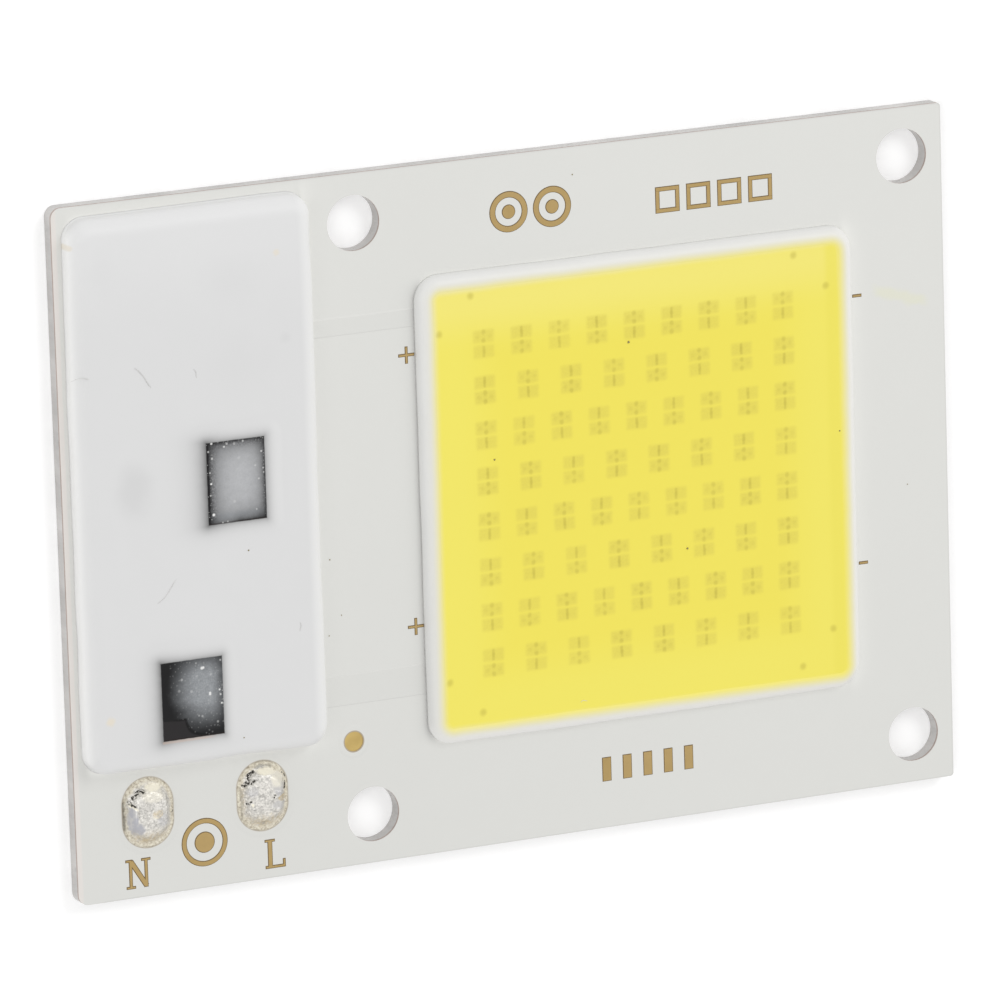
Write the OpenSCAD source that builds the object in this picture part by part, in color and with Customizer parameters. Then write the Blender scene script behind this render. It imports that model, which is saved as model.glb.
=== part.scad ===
/* Mains-voltage chip-on-board LED module: a white aluminium-core board with
   a square LED field, a potted driver and two wire pads.
   Frame: X along the board, Y across it, Z out of the lit face.
   Origin: centre of the bare aluminium back. */

/* [Board] */
// Length of the board along X
board_l = 55; // [53:0.5:60]
// Width of the board along Y
board_w = 40; // [39:0.5:44]
// Thickness of the aluminium core
core_t = 0.83; // [0.6:0.01:1.6]
// Thickness of the insulating laminate
dielectric_t = 0.1; // [0.06:0.01:0.15]
// Thickness of the copper foil
copper_t = 0.035; // [0.035:0.005:0.105]
// Thickness of the white mask above the copper
mask_t = 0.035; // [0.02:0.005:0.06]
// Corner radius at the driver end
corner_r_driver = 0.6; // [0.2:0.1:2]
// Corner radius at the LED end
corner_r_led = 0.2; // [0.1:0.1:2]

/* [Mounting holes] */
// Diameter of the four screw holes
hole_d = 3.2; // [2.8:0.1:3.4]
// Hole to hole along X
hole_pitch_x = 34.3; // [33:0.1:35]
// Middle of a screw hole to the long edge of the board
hole_edge = 2.85; // [2.6:0.05:3.5]
// Bare ring kept free of copper round each hole
hole_clearance = 0.5; // [0.3:0.1:0.8]

/* [LED field] */
// Centre of the field to the end edge of the board
field_edge = 19.7; // [19.2:0.1:20]
// Outer size of the square dam
dam_size = 27.3; // [27:0.1:28]
// Width of the dam bead at its foot
dam_w = 1.4; // [1.2:0.05:1.5]
// Height of the dam bead above the mask
dam_h = 0.7; // [0.66:0.01:0.75]
// Corner radius of the inner foot of the dam
dam_inner_r = 0.05; // [0.05:0.05:1]
// Level of the phosphor above the mask
phosphor_h = 0.62; // [0.5:0.01:0.64]
// Step from one alignment dot of a corner to the other, along each axis
dot_inset = 2; // [1.8:0.1:2.1]
// Middle of the outer alignment dots to the foot of the dam
dot_gap = 0.12; // [0.05:0.01:0.35]
// Diameter of an alignment dot
dot_d = 0.3; // [0.2:0.05:0.35]

/* [LED chips] */
// Length of one chip along X
die_l = 1.14; // [0.8:0.01:1.2]
// Width of one chip along Y
die_w = 0.66; // [0.5:0.01:0.72]
// Thickness of one chip
die_t = 0.15; // [0.1:0.01:0.2]
// Centre distance of the two chips of a pair
pair_pitch = 0.87; // [0.8:0.01:1]
// Number of rows
row_count = 8; // [2:2:8]
// Middle of the outermost rows to the foot of the dam
row_margin_y = 2.975; // [2.8:0.005:3.8]
// Pairs in a long row, a short row has one less
long_row_pairs = 9; // [4:1:10]
// Middle of the first and last pairs of a row to the foot of the dam
row_margin_x = 2.865; // [2.65:0.005:3.7]
// Diameter of a bond wire
wire_d = 0.03; // [0.025:0.005:0.04]
// Rise of a wire between two neighbouring pairs
loop_h = 0.2; // [0.12:0.01:0.25]
// Rise of the short wire inside a pair
short_loop_h = 0.1; // [0.06:0.01:0.12]
// Distance of a bond pad from the long edge of its chip
pad_inset = 0.12; // [0.08:0.01:0.2]

/* [Driver potting] */
// Size of the potted slab along X
potting_w = 14.6; // [14.2:0.1:15]
// Height of the slab above the mask
potting_h = 1.4; // [1.3:0.01:1.6]
// Bare strip between the slab and the end edge of the board
potting_margin_x = 0.6; // [0.3:0.1:1]
// Bare strip between the slab and the far long edge of the board
potting_margin_y = 0.65; // [0.3:0.05:1]
// Bare strip for the wire pads, between the slab and the near long edge
potting_margin_pads = 7.55; // [7.2:0.05:8]
// Corner radius of the slab seen from above
potting_corner_r = 1.2; // [1.15:0.05:3]
// Rolled edge round the top of the slab
potting_edge_r = 1; // [0.5:0.1:1.1]

/* [Moulded packages] */
// Body size of the bridge rectifier along X
rectifier_w = 3.9; // [3.6:0.1:4.1]
// Body size of the bridge rectifier along Y
rectifier_l = 4.7; // [4.5:0.1:4.9]
// Tip to tip width over the rectifier's leads
rectifier_span = 6.9; // [6.6:0.1:7.1]
// Lead pitch of the rectifier
rectifier_pitch = 2.5; // [2.3:0.1:2.6]
// Width of a rectifier lead
rectifier_lead_w = 0.65; // [0.5:0.05:0.8]
// Body size of the driver circuit along X
ic_w = 3.9; // [3.7:0.1:4.1]
// Body size of the driver circuit along Y
ic_l = 4.9; // [4.7:0.1:5.1]
// Tip to tip width over the driver's leads
ic_span = 6; // [5.8:0.1:6.2]
// Lead pitch of the driver
ic_pitch = 1.27; // [1.1:0.01:1.3]
// Width of a driver lead
ic_lead_w = 0.41; // [0.35:0.01:0.5]
// Height of both moulded bodies
package_h = 1.35; // [1.2:0.01:1.5]
// Air under a moulded body
package_standoff = 0.1; // [0.05:0.01:0.15]
// Thickness of the lead sheet
lead_t = 0.2; // [0.15:0.01:0.25]
// Length of a lead's foot
foot_l = 0.6; // [0.5:0.05:0.7]
// Draft of the moulded sides in degrees
draft = 8; // [4:1:12]

/* [Small components] */
// Body length of the clamp diode
diode_l = 2.8; // [2.6:0.1:3]
// Body width of the clamp diode
diode_w = 1.8; // [1.6:0.1:2]
// Body height of the clamp diode
diode_h = 0.95; // [0.8:0.01:1.05]
// Tip to tip length over the diode's tabs
diode_span = 3.7; // [3.5:0.1:3.9]
// Width of a diode tab
diode_tab_w = 1; // [0.8:0.1:1.2]
// Length of a chip resistor and of the fuse
chip_l = 3.2; // [3:0.1:3.4]
// Width of a chip resistor and of the fuse
chip_w = 1.6; // [1.4:0.1:1.7]
// Height of a chip resistor
resistor_h = 0.55; // [0.45:0.01:0.65]
// Height of the fuse
fuse_h = 0.6; // [0.5:0.01:0.8]
// Length of a chip's end cap
cap_l = 0.5; // [0.3:0.05:0.6]
// Thickness of the plating of an end cap
cap_t = 0.05; // [0.03:0.01:0.08]
// Distance between the two current setting resistors
resistor_pitch = 2.2; // [2:0.1:2.5]
// Thickness of the solder under leads and caps
solder_t = 0.06; // [0.05:0.01:0.1]
// How far a solder pad shows round its lead or cap
pad_show = 0.15; // [0.05:0.01:0.18]

/* [Wire pads] */
// Width of a wire pad
wire_pad_w = 3.08; // [2.6:0.02:3.4]
// Length of a wire pad
wire_pad_l = 4.08; // [3.6:0.02:4.4]
// Distance between the two wire pads
wire_pad_pitch = 7; // [6.5:0.1:7.5]
// First wire pad to the end edge of the board
wire_pad_x = 4.36; // [4:0.02:4.8]
// Wire pads to the long edge of the board
wire_pad_y = 4.88; // [4.4:0.02:4.9]
// Height of the solder on a wire pad above the mask
joint_h = 0.75; // [0.4:0.01:1]
// Diameter of the round test pad
test_pad_d = 1.14; // [0.9:0.02:1.4]
// Test pad to the middle of the nearest screw hole, along X
test_pad_dx = 1.05; // [0.8:0.05:1.5]
// Test pad to the middle of the nearest screw hole, along Y
test_pad_dy = 4.4; // [4:0.1:5]

/* [Hidden] */
$fn = 48;

// Overrun of a cutting tool past the faces it cuts
cut = 0.5;
// Widths of the copper tracks
power_track_w = 0.8;
return_band_w = 1;
feed_band_w = 1.74;
bus_w = 0.7;
bus_opening_w = 0.4;
track_gap = 0.5;
// Land of copper shown round an opening in the mask
land_margin = 0.3;
dot_land_margin = 0.05;
// Step from the edge of a component's pad to the opening over it
opening_inset = 0.025;
// Dam's foot to the return band, and rise of the feed band over its mirror image
band_gap = 0.42;
feed_rise = 1.63;
// Root of a lead inside the drafted side of its body
lead_root = 0.1;
// Air between a bond wire and the pad edge it slopes down to
wire_lift = 0.002;
// Parting line of a moulded body, as a share of its height
parting = 0.5;

// Levels, from the back of the board upwards
z_dielectric = core_t;
z_copper = z_dielectric + dielectric_t;
z_land = z_copper + copper_t;
z_mask = z_land + mask_t;
z_solder = z_land + solder_t;
z_package = z_solder + package_standoff;
z_die = z_mask + die_t;

// Places on the board
field_x = board_l / 2 - field_edge;
potting_l = board_w - potting_margin_y - potting_margin_pads;
potting_x = -board_l / 2 + potting_margin_x + potting_w / 2;
potting_y = board_w / 2 - potting_margin_y - potting_l / 2;
potting_low = potting_y - potting_l / 2;
hole_xs = [field_x - hole_pitch_x / 2, field_x + hole_pitch_x / 2];
hole_ys = [-board_w / 2 + hole_edge, board_w / 2 - hole_edge];
pad_n = [-board_l / 2 + wire_pad_x, -board_w / 2 + wire_pad_y];
pad_l = [pad_n.x + wire_pad_pitch, pad_n.y];
test_pad = [hole_xs[0] - test_pad_dx, hole_ys[0] + test_pad_dy];

// Gaps between the bodies of the driver's components and round them
rectifier_gap_low = 1.59;
rectifier_gap_left = 4.2;
ic_shift_x = 2.08;
ic_shift_y = 0.2;
diode_gap_left = 2.3;
diode_shift_y = 0.35;
fuse_gap_right = 1;
fuse_gap_low = 1.2;
resistor_gap_ic = 2.7;
resistor_shift_x = 3.3;
// Places of the driver's components on the board
rectifier_at = [potting_x - potting_w / 2 + rectifier_gap_left + rectifier_w / 2,
                potting_low + rectifier_gap_low + rectifier_l / 2];
ic_at = [potting_x + ic_shift_x, potting_y + ic_shift_y];
diode_at = [potting_x - potting_w / 2 + diode_gap_left + diode_w / 2,
            potting_y + diode_shift_y];
fuse_at = [potting_x + potting_w / 2 - fuse_gap_right - chip_w / 2,
           potting_low + fuse_gap_low + chip_l / 2];
resistor_row_at = [potting_x + resistor_shift_x,
                   ic_at.y + ic_l / 2 + resistor_gap_ic + chip_l / 2];
resistor_ats = [resistor_row_at + [-resistor_pitch / 2, 0],
                resistor_row_at + [resistor_pitch / 2, 0]];

// Middles of the pads that the components are soldered to
rectifier_pad_x = (rectifier_span - foot_l) / 2;
ic_pad_x = (ic_span - foot_l) / 2;
diode_tab_l = 0.7;
diode_pad_y = (diode_span - diode_tab_l) / 2;
chip_pad_y = (chip_l - cap_l) / 2;
rectifier_ys = [-rectifier_pitch / 2, rectifier_pitch / 2];
ic_ys = [for (i = [-1.5 : 1.5]) i * ic_pitch];

// Each pad: centre, then its size along X and Y
component_pads = concat(
    [for (s = [-1, 1], y = rectifier_ys)
        [rectifier_at + [s * rectifier_pad_x, y], [foot_l, rectifier_lead_w]]],
    [for (s = [-1, 1], y = ic_ys)
        [ic_at + [s * ic_pad_x, y], [foot_l, ic_lead_w]]],
    [for (s = [-1, 1])
        [diode_at + [0, s * diode_pad_y], [diode_tab_w, diode_tab_l]]],
    [for (at = resistor_ats, s = [-1, 1])
        [at + [0, s * chip_pad_y], [chip_w, cap_l]]],
    [for (s = [-1, 1])
        [fuse_at + [0, s * chip_pad_y], [chip_w, cap_l]]]);

// Bead of the dam: middle line and radius of its round back
bead_line = dam_size - dam_w;
bead_r = (dam_h * dam_h + dam_w * dam_w / 4) / (2 * dam_h);
bead_drop = bead_r - dam_h;
dam_corner_r = dam_inner_r + dam_w / 2;
dam_foot = dam_size / 2 - dam_w;
dot_reach = dam_foot - dot_gap;
row_pitch = 2 * (dam_foot - row_margin_y) / (row_count - 1);
row_span = 2 * (dam_foot - row_margin_x);
bus_x = dam_foot - land_margin - bus_w;
bus_reach = row_pitch * (row_count - 1) / 2 + pair_pitch / 2 + die_w / 2;
return_y = dam_foot - return_band_w / 2 - band_gap;
feed_y = feed_rise - return_y;

function row_y(i) = ((row_count - 1) / 2 - i) * row_pitch;
function pairs_in(i) = long_row_pairs - i % 2;
function pair_x(i, k) = -row_span / 2 + k * row_span / (pairs_in(i) - 1);
// A string runs through a row in turns: up through one pair, down the next
function wire_side(k) = k % 2 == 0 ? -1 : 1;

// ---------------------------------------------------------------- outlines

module board_outline() {
    straight = board_l - corner_r_driver - corner_r_led;
    translate([-board_l / 2 + corner_r_driver, -board_w / 2])
        square([straight, board_w]);
    for (side = [[-1, corner_r_driver], [1, corner_r_led]]) {
        translate([side[0] * (board_l / 2 - side[1]), 0])
            square([2 * side[1], board_w - 2 * side[1]], center = true);
        for (s = [-1, 1])
            translate([side[0] * (board_l / 2 - side[1]),
                       s * (board_w / 2 - side[1])])
                circle(r = side[1]);
    }
}

module rounded_rect(l, w, r) {
    square([l - 2 * r, w], center = true);
    square([l, w - 2 * r], center = true);
    for (sx = [-1, 1], sy = [-1, 1])
        translate([sx * (l / 2 - r), sy * (w / 2 - r)])
            circle(r = r);
}

module obround(w, l) {
    square([w, l - w], center = true);
    for (s = [-1, 1])
        translate([0, s * (l - w) / 2])
            circle(d = w);
}

// Strip of copper from one point to the next, along X or along Y
module strip(from, to, w) {
    low = [min(from.x, to.x), min(from.y, to.y)];
    high = [max(from.x, to.x), max(from.y, to.y)];
    translate(low - [w / 2, w / 2])
        square(high - low + [w, w]);
}

module screw_holes(d, z, t) {
    for (x = hole_xs, y = hole_ys)
        translate([x, y, z - cut])
            cylinder(d = d, h = t + 2 * cut);
}

module board_layer(z, t) {
    difference() {
        translate([0, 0, z])
            linear_extrude(t)
                board_outline();
        screw_holes(hole_d, z, t);
    }
}

// ------------------------------------------------------------------- board

module base_plate() {
    color([0.72, 0.72, 0.71])
        board_layer(0, core_t);
}

module dielectric_layer() {
    color([0.62, 0.54, 0.48])
        board_layer(z_dielectric, dielectric_t);
}

// Tracks from the wire pads through the rectifier to the driver circuit
module driver_tracks() {
    ac_n = rectifier_at + [-rectifier_pad_x, rectifier_ys[0]];
    ac_l = rectifier_at + [rectifier_pad_x, rectifier_ys[0]];
    dc_minus = rectifier_at + [-rectifier_pad_x, rectifier_ys[1]];
    dc_plus = rectifier_at + [rectifier_pad_x, rectifier_ys[1]];
    fuse_low = fuse_at - [0, chip_pad_y];
    fuse_high = fuse_at + [0, chip_pad_y];
    link_x = (ac_l.x + fuse_at.x) / 2;
    rail_x = diode_at.x - diode_tab_w / 2 - track_gap - power_track_w / 2;
    ground_y = resistor_row_at.y + chip_pad_y + cap_l + track_gap;
    sense_y = resistor_row_at.y - chip_pad_y - cap_l;
    plus_y = ic_at.y + ic_l / 2 + track_gap + power_track_w / 2;
    // Neutral pad to the rectifier
    strip(pad_n, [pad_n.x, ac_n.y], power_track_w);
    strip([pad_n.x, ac_n.y], ac_n, power_track_w);
    // Live pad through the fuse to the rectifier
    strip(pad_l, [pad_l.x, fuse_low.y], power_track_w);
    strip([pad_l.x, fuse_low.y], fuse_low, power_track_w);
    strip(fuse_high, [link_x, fuse_high.y], power_track_w);
    strip([link_x, fuse_high.y], [link_x, ac_l.y], power_track_w);
    strip([link_x, ac_l.y], ac_l, power_track_w);
    // Positive output to the diode, passing under the driver circuit
    strip(dc_plus, [ic_at.x, dc_plus.y], power_track_w);
    strip([ic_at.x, dc_plus.y], [ic_at.x, plus_y], power_track_w);
    strip([diode_at.x, plus_y], [ic_at.x, plus_y], power_track_w);
    strip(diode_at + [0, diode_pad_y], [diode_at.x, plus_y], power_track_w);
    // Negative rail along the edge, to the diode, driver and resistors
    strip(dc_minus, [rail_x, dc_minus.y], power_track_w);
    strip([rail_x, dc_minus.y], [rail_x, ground_y], power_track_w);
    strip([rail_x, ground_y], [resistor_ats[1].x, ground_y], power_track_w);
    for (at = resistor_ats)
        strip(at + [0, chip_pad_y], [at.x, ground_y], power_track_w);
    strip([rail_x, diode_at.y - diode_pad_y],
          [ic_at.x - ic_pad_x, diode_at.y - diode_pad_y], power_track_w);
    strip(ic_at + [-ic_pad_x, ic_ys[0]], ic_at + [-ic_pad_x, ic_ys[3]], ic_lead_w);
    // Sense pin to the current setting resistors
    strip(ic_at + [ic_pad_x, ic_ys[3]], [ic_at.x + ic_pad_x, sense_y], ic_lead_w);
    strip([resistor_ats[0].x, sense_y], [resistor_ats[1].x, sense_y], power_track_w);
    for (at = resistor_ats)
        strip(at - [0, chip_pad_y], [at.x, sense_y], power_track_w);
    // Positive feed out to the LED field
    strip([ic_at.x, dc_plus.y + power_track_w],
          [potting_x + potting_w / 2, dc_plus.y + power_track_w], power_track_w);
}

// Bus bars, feed and return of the LED field
module field_tracks() {
    feed_start = potting_x + potting_w / 2;
    drain_x = ic_at.x + ic_pad_x + foot_l / 2 + track_gap + ic_lead_w;
    return_end = field_x + bus_x;
    feed_ends = (feed_band_w - power_track_w) / 2;
    // Feed band to the positive bus
    strip([feed_start + feed_ends, feed_y],
          [field_x - bus_x + bus_w / 2 - feed_band_w / 2, feed_y], feed_band_w);
    strip([feed_start, rectifier_at.y + rectifier_ys[1] + power_track_w],
          [feed_start, feed_y], power_track_w);
    strip([field_x - bus_x, -bus_reach], [field_x - bus_x, bus_reach], bus_w);
    // Return band over the top of the field from the negative bus
    strip([drain_x, return_y], [return_end, return_y], return_band_w);
    strip([return_end, -bus_reach], [return_end, return_y], bus_w);
    strip([drain_x, ic_at.y + ic_ys[0]], [drain_x, return_y], ic_lead_w);
    for (i = [0 : 2])
        strip(ic_at + [ic_pad_x, ic_ys[i]], [drain_x, ic_at.y + ic_ys[i]], ic_lead_w);
    // Heat spreading land under the chips
    translate([field_x - bus_x + bus_w / 2 + track_gap, -bus_reach - bus_w / 2])
        square([2 * bus_x - bus_w - 2 * track_gap, 2 * bus_reach + bus_w]);
}

// The eight alignment dots, two near each corner of the field
module dots(margin) {
    for (sx = [-1, 1], sy = [-1, 1], swap = [false, true]) {
        near = dot_reach - dot_inset;
        x = swap ? near : dot_reach;
        y = swap ? dot_reach : near;
        translate([field_x + sx * x, sy * y])
            circle(d = dot_d + 2 * margin);
    }
}

module copper_outline() {
    driver_tracks();
    field_tracks();
    dots(dot_land_margin);
    for (p = [pad_n, pad_l])
        translate(p)
            obround(wire_pad_w + 2 * land_margin, wire_pad_l + 2 * land_margin);
    translate(test_pad)
        circle(d = test_pad_d + 2 * land_margin);
    for (p = component_pads)
        translate(p[0])
            square(p[1] + 2 * pad_show * [1, 1], center = true);
}

module copper_circuit() {
    color([0.78, 0.66, 0.42])
        difference() {
            translate([0, 0, z_copper])
                linear_extrude(copper_t)
                    copper_outline();
            screw_holes(hole_d + 2 * hole_clearance, z_copper, copper_t);
        }
}

module wire_pad_openings() {
    for (p = [pad_n, pad_l])
        translate(p)
            obround(wire_pad_w, wire_pad_l);
}

module component_openings() {
    for (p = component_pads)
        translate(p[0])
            square(p[1] + 2 * (pad_show - opening_inset) * [1, 1], center = true);
}

module bus_openings() {
    for (s = [-1, 1])
        translate([field_x + s * bus_x, 0])
            square([bus_opening_w, 2 * bus_reach], center = true);
}

module solder_mask() {
    color([0.9, 0.9, 0.88])
        difference() {
            board_layer(z_copper, copper_t + mask_t);
            copper_circuit();
            translate([0, 0, z_land])
                linear_extrude(mask_t + cut) {
                    wire_pad_openings();
                    component_openings();
                    bus_openings();
                    dots(0);
                    translate(test_pad)
                        circle(d = test_pad_d);
                }
        }
}

// --------------------------------------------------------------- LED field

// Cross-section of the bead, its middle line at X = x
module bead_section(x) {
    intersection() {
        translate([x, -bead_drop])
            circle(r = bead_r);
        translate([x - dam_w, 0])
            square([2 * dam_w, dam_h]);
    }
}

module led_dam() {
    side = bead_line / 2 - dam_corner_r;
    color([0.93, 0.93, 0.95])
        translate([field_x, 0, z_mask])
            for (turn = [0 : 90 : 270])
                rotate([0, 0, turn]) {
                    translate([0, side, 0])
                        rotate([90, 0, 0])
                            linear_extrude(2 * side)
                                bead_section(bead_line / 2);
                    translate([side, side, 0])
                        rotate_extrude(angle = 90)
                            bead_section(dam_corner_r);
                }
}

module place_dies() {
    for (i = [0 : row_count - 1], k = [0 : pairs_in(i) - 1], s = [-1, 1])
        translate([field_x + pair_x(i, k), row_y(i) + s * pair_pitch / 2, z_mask])
            children();
}

module led_dies() {
    color([0.55, 0.6, 0.5])
        place_dies()
            translate([-die_l / 2, -die_w / 2, 0])
                cube([die_l, die_w, die_t]);
}

// Round-backed wire of span c and rise h in the XZ plane, from the origin
module wire_loop(c, h) {
    r = (c * c / 4 + h * h) / (2 * h);
    half = asin(c / (2 * r));
    seat = wire_d / 2 * cos(half) + wire_lift;
    translate([c / 2, 0, seat + h - r])
        rotate([90, 0, 0])
            rotate([0, 0, 90 - half])
                rotate_extrude(angle = 2 * half)
                    translate([r, 0])
                        circle(d = wire_d, $fn = 16);
}

// Wire of rise h from one point in space to another
module place_wire(from, to, h) {
    d = to - from;
    flat = norm([d.x, d.y]);
    translate(from)
        rotate([0, -atan2(d.z, flat), atan2(d.y, d.x)])
            wire_loop(norm(d), h);
}

module bond_wires() {
    outer = pair_pitch / 2 + die_w / 2 - pad_inset;
    inner = pair_pitch / 2 - die_w / 2 + pad_inset;
    color([0.9, 0.75, 0.3])
        for (i = [0 : row_count - 1]) {
            last = pairs_in(i) - 1;
            y = row_y(i);
            for (k = [0 : last]) {
                x = field_x + pair_x(i, k);
                place_wire([x, y - inner, z_die], [x, y + inner, z_die],
                           short_loop_h);
            }
            for (k = [0 : last - 1]) {
                side = y + wire_side(k) * outer;
                place_wire([field_x + pair_x(i, k), side, z_die],
                           [field_x + pair_x(i, k + 1), side, z_die], loop_h);
            }
            for (end = [[0, -1, -wire_side(0)], [last, 1, wire_side(last)]]) {
                side = y + end[2] * outer;
                place_wire([field_x + pair_x(i, end[0]), side, z_die],
                           [field_x + end[1] * bus_x, side, z_land], loop_h);
            }
        }
}

module phosphor_fill() {
    color([0.95, 0.86, 0.3])
        difference() {
            union() {
                translate([field_x, 0, z_mask])
                    linear_extrude(phosphor_h)
                        rounded_rect(bead_line, bead_line, dam_corner_r);
                translate([0, 0, z_land])
                    linear_extrude(mask_t) {
                        bus_openings();
                        dots(0);
                    }
            }
            led_dam();
            led_dies();
            bond_wires();
        }
}

// ------------------------------------------------------ driver components

// Moulded body of size w by l by h with drafted sides, from z = 0
module moulded_body(w, l, h) {
    slope = tan(draft) * h * parting;
    intersection() {
        rotate([90, 0, 0])
            linear_extrude(2 * l, center = true)
                moulded_section(w, h, slope);
        rotate([90, 0, 90])
            linear_extrude(2 * w, center = true)
                moulded_section(l, h, slope);
    }
}

module moulded_section(w, h, slope) {
    polygon([[-w / 2 + slope, 0], [w / 2 - slope, 0], [w / 2, h * parting],
             [w / 2 - slope, h], [-w / 2 + slope, h], [-w / 2, h * parting]]);
}

// Gull-wing lead along +X, from the side of the body down to its foot
module gull_lead(body_w, span, lead_w) {
    shoulder = package_standoff + package_h * parting;
    knee = span / 2 - foot_l;
    rotate([90, 0, 0])
        linear_extrude(lead_w, center = true)
            polygon([[body_w / 2, shoulder - lead_t / 2],
                     [knee - lead_t / 2, shoulder - lead_t / 2],
                     [knee, 0],
                     [span / 2, 0],
                     [span / 2, lead_t],
                     [knee + lead_t * 0.9, lead_t],
                     [knee + lead_t * 0.4, shoulder + lead_t / 2],
                     [body_w / 2, shoulder + lead_t / 2]]);
}

module lead_set(at, body_w, body_l, span, ys, lead_w) {
    difference() {
        for (s = [0, 180], y = ys)
            translate([at.x, at.y + y, z_solder])
                rotate([0, 0, s])
                    translate([-lead_root, 0, 0])
                        gull_lead(body_w, span + 2 * lead_root, lead_w);
        translate([at.x, at.y, z_package])
            moulded_body(body_w, body_l, package_h);
    }
}

module bridge_rectifier() {
    color([0.12, 0.12, 0.13])
        translate([rectifier_at.x, rectifier_at.y, z_package])
            moulded_body(rectifier_w, rectifier_l, package_h);
}

module rectifier_leads() {
    color([0.75, 0.75, 0.76])
        lead_set(rectifier_at, rectifier_w, rectifier_l, rectifier_span,
                 rectifier_ys, rectifier_lead_w);
}

module driver_ic() {
    color([0.12, 0.12, 0.13])
        translate([ic_at.x, ic_at.y, z_package])
            moulded_body(ic_w, ic_l, package_h);
}

module driver_ic_leads() {
    color([0.75, 0.75, 0.76])
        lead_set(ic_at, ic_w, ic_l, ic_span, ic_ys, ic_lead_w);
}

module clamp_diode() {
    color([0.14, 0.14, 0.15])
        difference() {
            translate([diode_at.x, diode_at.y, z_solder])
                moulded_body(diode_w, diode_l, diode_h);
            clamp_diode_tabs();
        }
}

// Flat tabs that reach a little way under the ends of the diode
module clamp_diode_tabs() {
    color([0.75, 0.75, 0.76])
        for (s = [-1, 1])
            translate([diode_at.x - diode_tab_w / 2,
                       diode_at.y + s * diode_pad_y - diode_tab_l / 2, z_solder])
                cube([diode_tab_w, diode_tab_l, lead_t]);
}

module chip_body(h) {
    translate([-chip_w / 2, -chip_l / 2 + cap_t, cap_t])
        cube([chip_w, chip_l - 2 * cap_t, h - 2 * cap_t]);
}

module chip_caps(h) {
    for (s = [-1, 1])
        difference() {
            translate([-chip_w / 2, s * chip_pad_y - cap_l / 2, 0])
                cube([chip_w, cap_l, h]);
            chip_body(h);
        }
}

module current_resistors() {
    color([0.15, 0.15, 0.17])
        for (at = resistor_ats)
            translate([at.x, at.y, z_solder])
                chip_body(resistor_h);
}

module resistor_end_caps() {
    color([0.78, 0.78, 0.78])
        for (at = resistor_ats)
            translate([at.x, at.y, z_solder])
                chip_caps(resistor_h);
}

module input_fuse() {
    color([0.85, 0.82, 0.72])
        translate([fuse_at.x, fuse_at.y, z_solder])
            chip_body(fuse_h);
}

module fuse_end_caps() {
    color([0.78, 0.78, 0.78])
        translate([fuse_at.x, fuse_at.y, z_solder])
            chip_caps(fuse_h);
}

module component_solder() {
    color([0.7, 0.71, 0.72])
        translate([0, 0, z_land])
            linear_extrude(solder_t)
                component_openings();
}

// Everything that the potting closes round
module potted_components() {
    bridge_rectifier();
    rectifier_leads();
    driver_ic();
    driver_ic_leads();
    translate([diode_at.x, diode_at.y, z_solder])
        moulded_body(diode_w, diode_l, diode_h);
    clamp_diode_tabs();
    for (at = resistor_ats) {
        translate([at.x, at.y, z_solder])
            chip_body(resistor_h);
        translate([at.x, at.y, z_solder])
            chip_caps(resistor_h);
    }
    input_fuse();
    fuse_end_caps();
    component_solder();
}

// Section of the slab, w wide, with its top edges rolled over
module rolled_section(w, h, edge_r) {
    translate([-w / 2, 0])
        square([w, h - edge_r]);
    translate([-w / 2 + edge_r, 0])
        square([w - 2 * edge_r, h]);
    intersection() {
        for (s = [-1, 1])
            translate([s * (w / 2 - edge_r), h - edge_r])
                circle(r = edge_r);
        translate([-w / 2, 0])
            square([w, h]);
    }
}

// Slab with an upright foot and a rolled top edge, from z = 0
module rolled_slab(w, l, h, corner_r, edge_r) {
    rotate([90, 0, 0])
        linear_extrude(l - 2 * corner_r, center = true)
            rolled_section(w, h, edge_r);
    rotate([90, 0, 90])
        linear_extrude(w - 2 * corner_r, center = true)
            rolled_section(l, h, edge_r);
    for (sx = [-1, 1], sy = [-1, 1])
        translate([sx * (w / 2 - corner_r), sy * (l / 2 - corner_r), 0])
            rotate_extrude()
                intersection() {
                    rolled_section(2 * corner_r, h, edge_r);
                    square([corner_r, h]);
                }
}

module driver_potting() {
    color([0.9, 0.91, 0.94])
        difference() {
            translate([potting_x, potting_y, z_mask])
                rolled_slab(potting_w, potting_l, potting_h,
                            potting_corner_r, potting_edge_r);
            potted_components();
        }
}

// -------------------------------------------------------------- wire pads

// Plug in the mask opening with a domed top of solder over it
module solder_joint(at) {
    rise = joint_h;
    r = (rise * rise + wire_pad_w * wire_pad_w / 4) / (2 * rise);
    run = wire_pad_l - wire_pad_w;
    translate([at.x, at.y, z_land])
        linear_extrude(mask_t)
            obround(wire_pad_w, wire_pad_l);
    translate([at.x, at.y, z_mask])
        intersection() {
            union() {
                for (s = [-1, 1])
                    translate([0, s * run / 2, rise - r])
                        sphere(r = r);
                translate([0, 0, rise - r])
                    rotate([90, 0, 0])
                        cylinder(r = r, h = run, center = true);
            }
            linear_extrude(joint_h + cut)
                obround(wire_pad_w, wire_pad_l);
        }
}

module solder_joint_n() {
    color([0.72, 0.72, 0.7])
        solder_joint(pad_n);
}

module solder_joint_l() {
    color([0.72, 0.72, 0.7])
        solder_joint(pad_l);
}

base_plate();
dielectric_layer();
copper_circuit();
solder_mask();
led_dam();
led_dies();
bond_wires();
phosphor_fill();
bridge_rectifier();
rectifier_leads();
driver_ic();
driver_ic_leads();
clamp_diode();
clamp_diode_tabs();
current_resistors();
resistor_end_caps();
input_fuse();
fuse_end_caps();
component_solder();
driver_potting();
solder_joint_n();
solder_joint_l();
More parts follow.
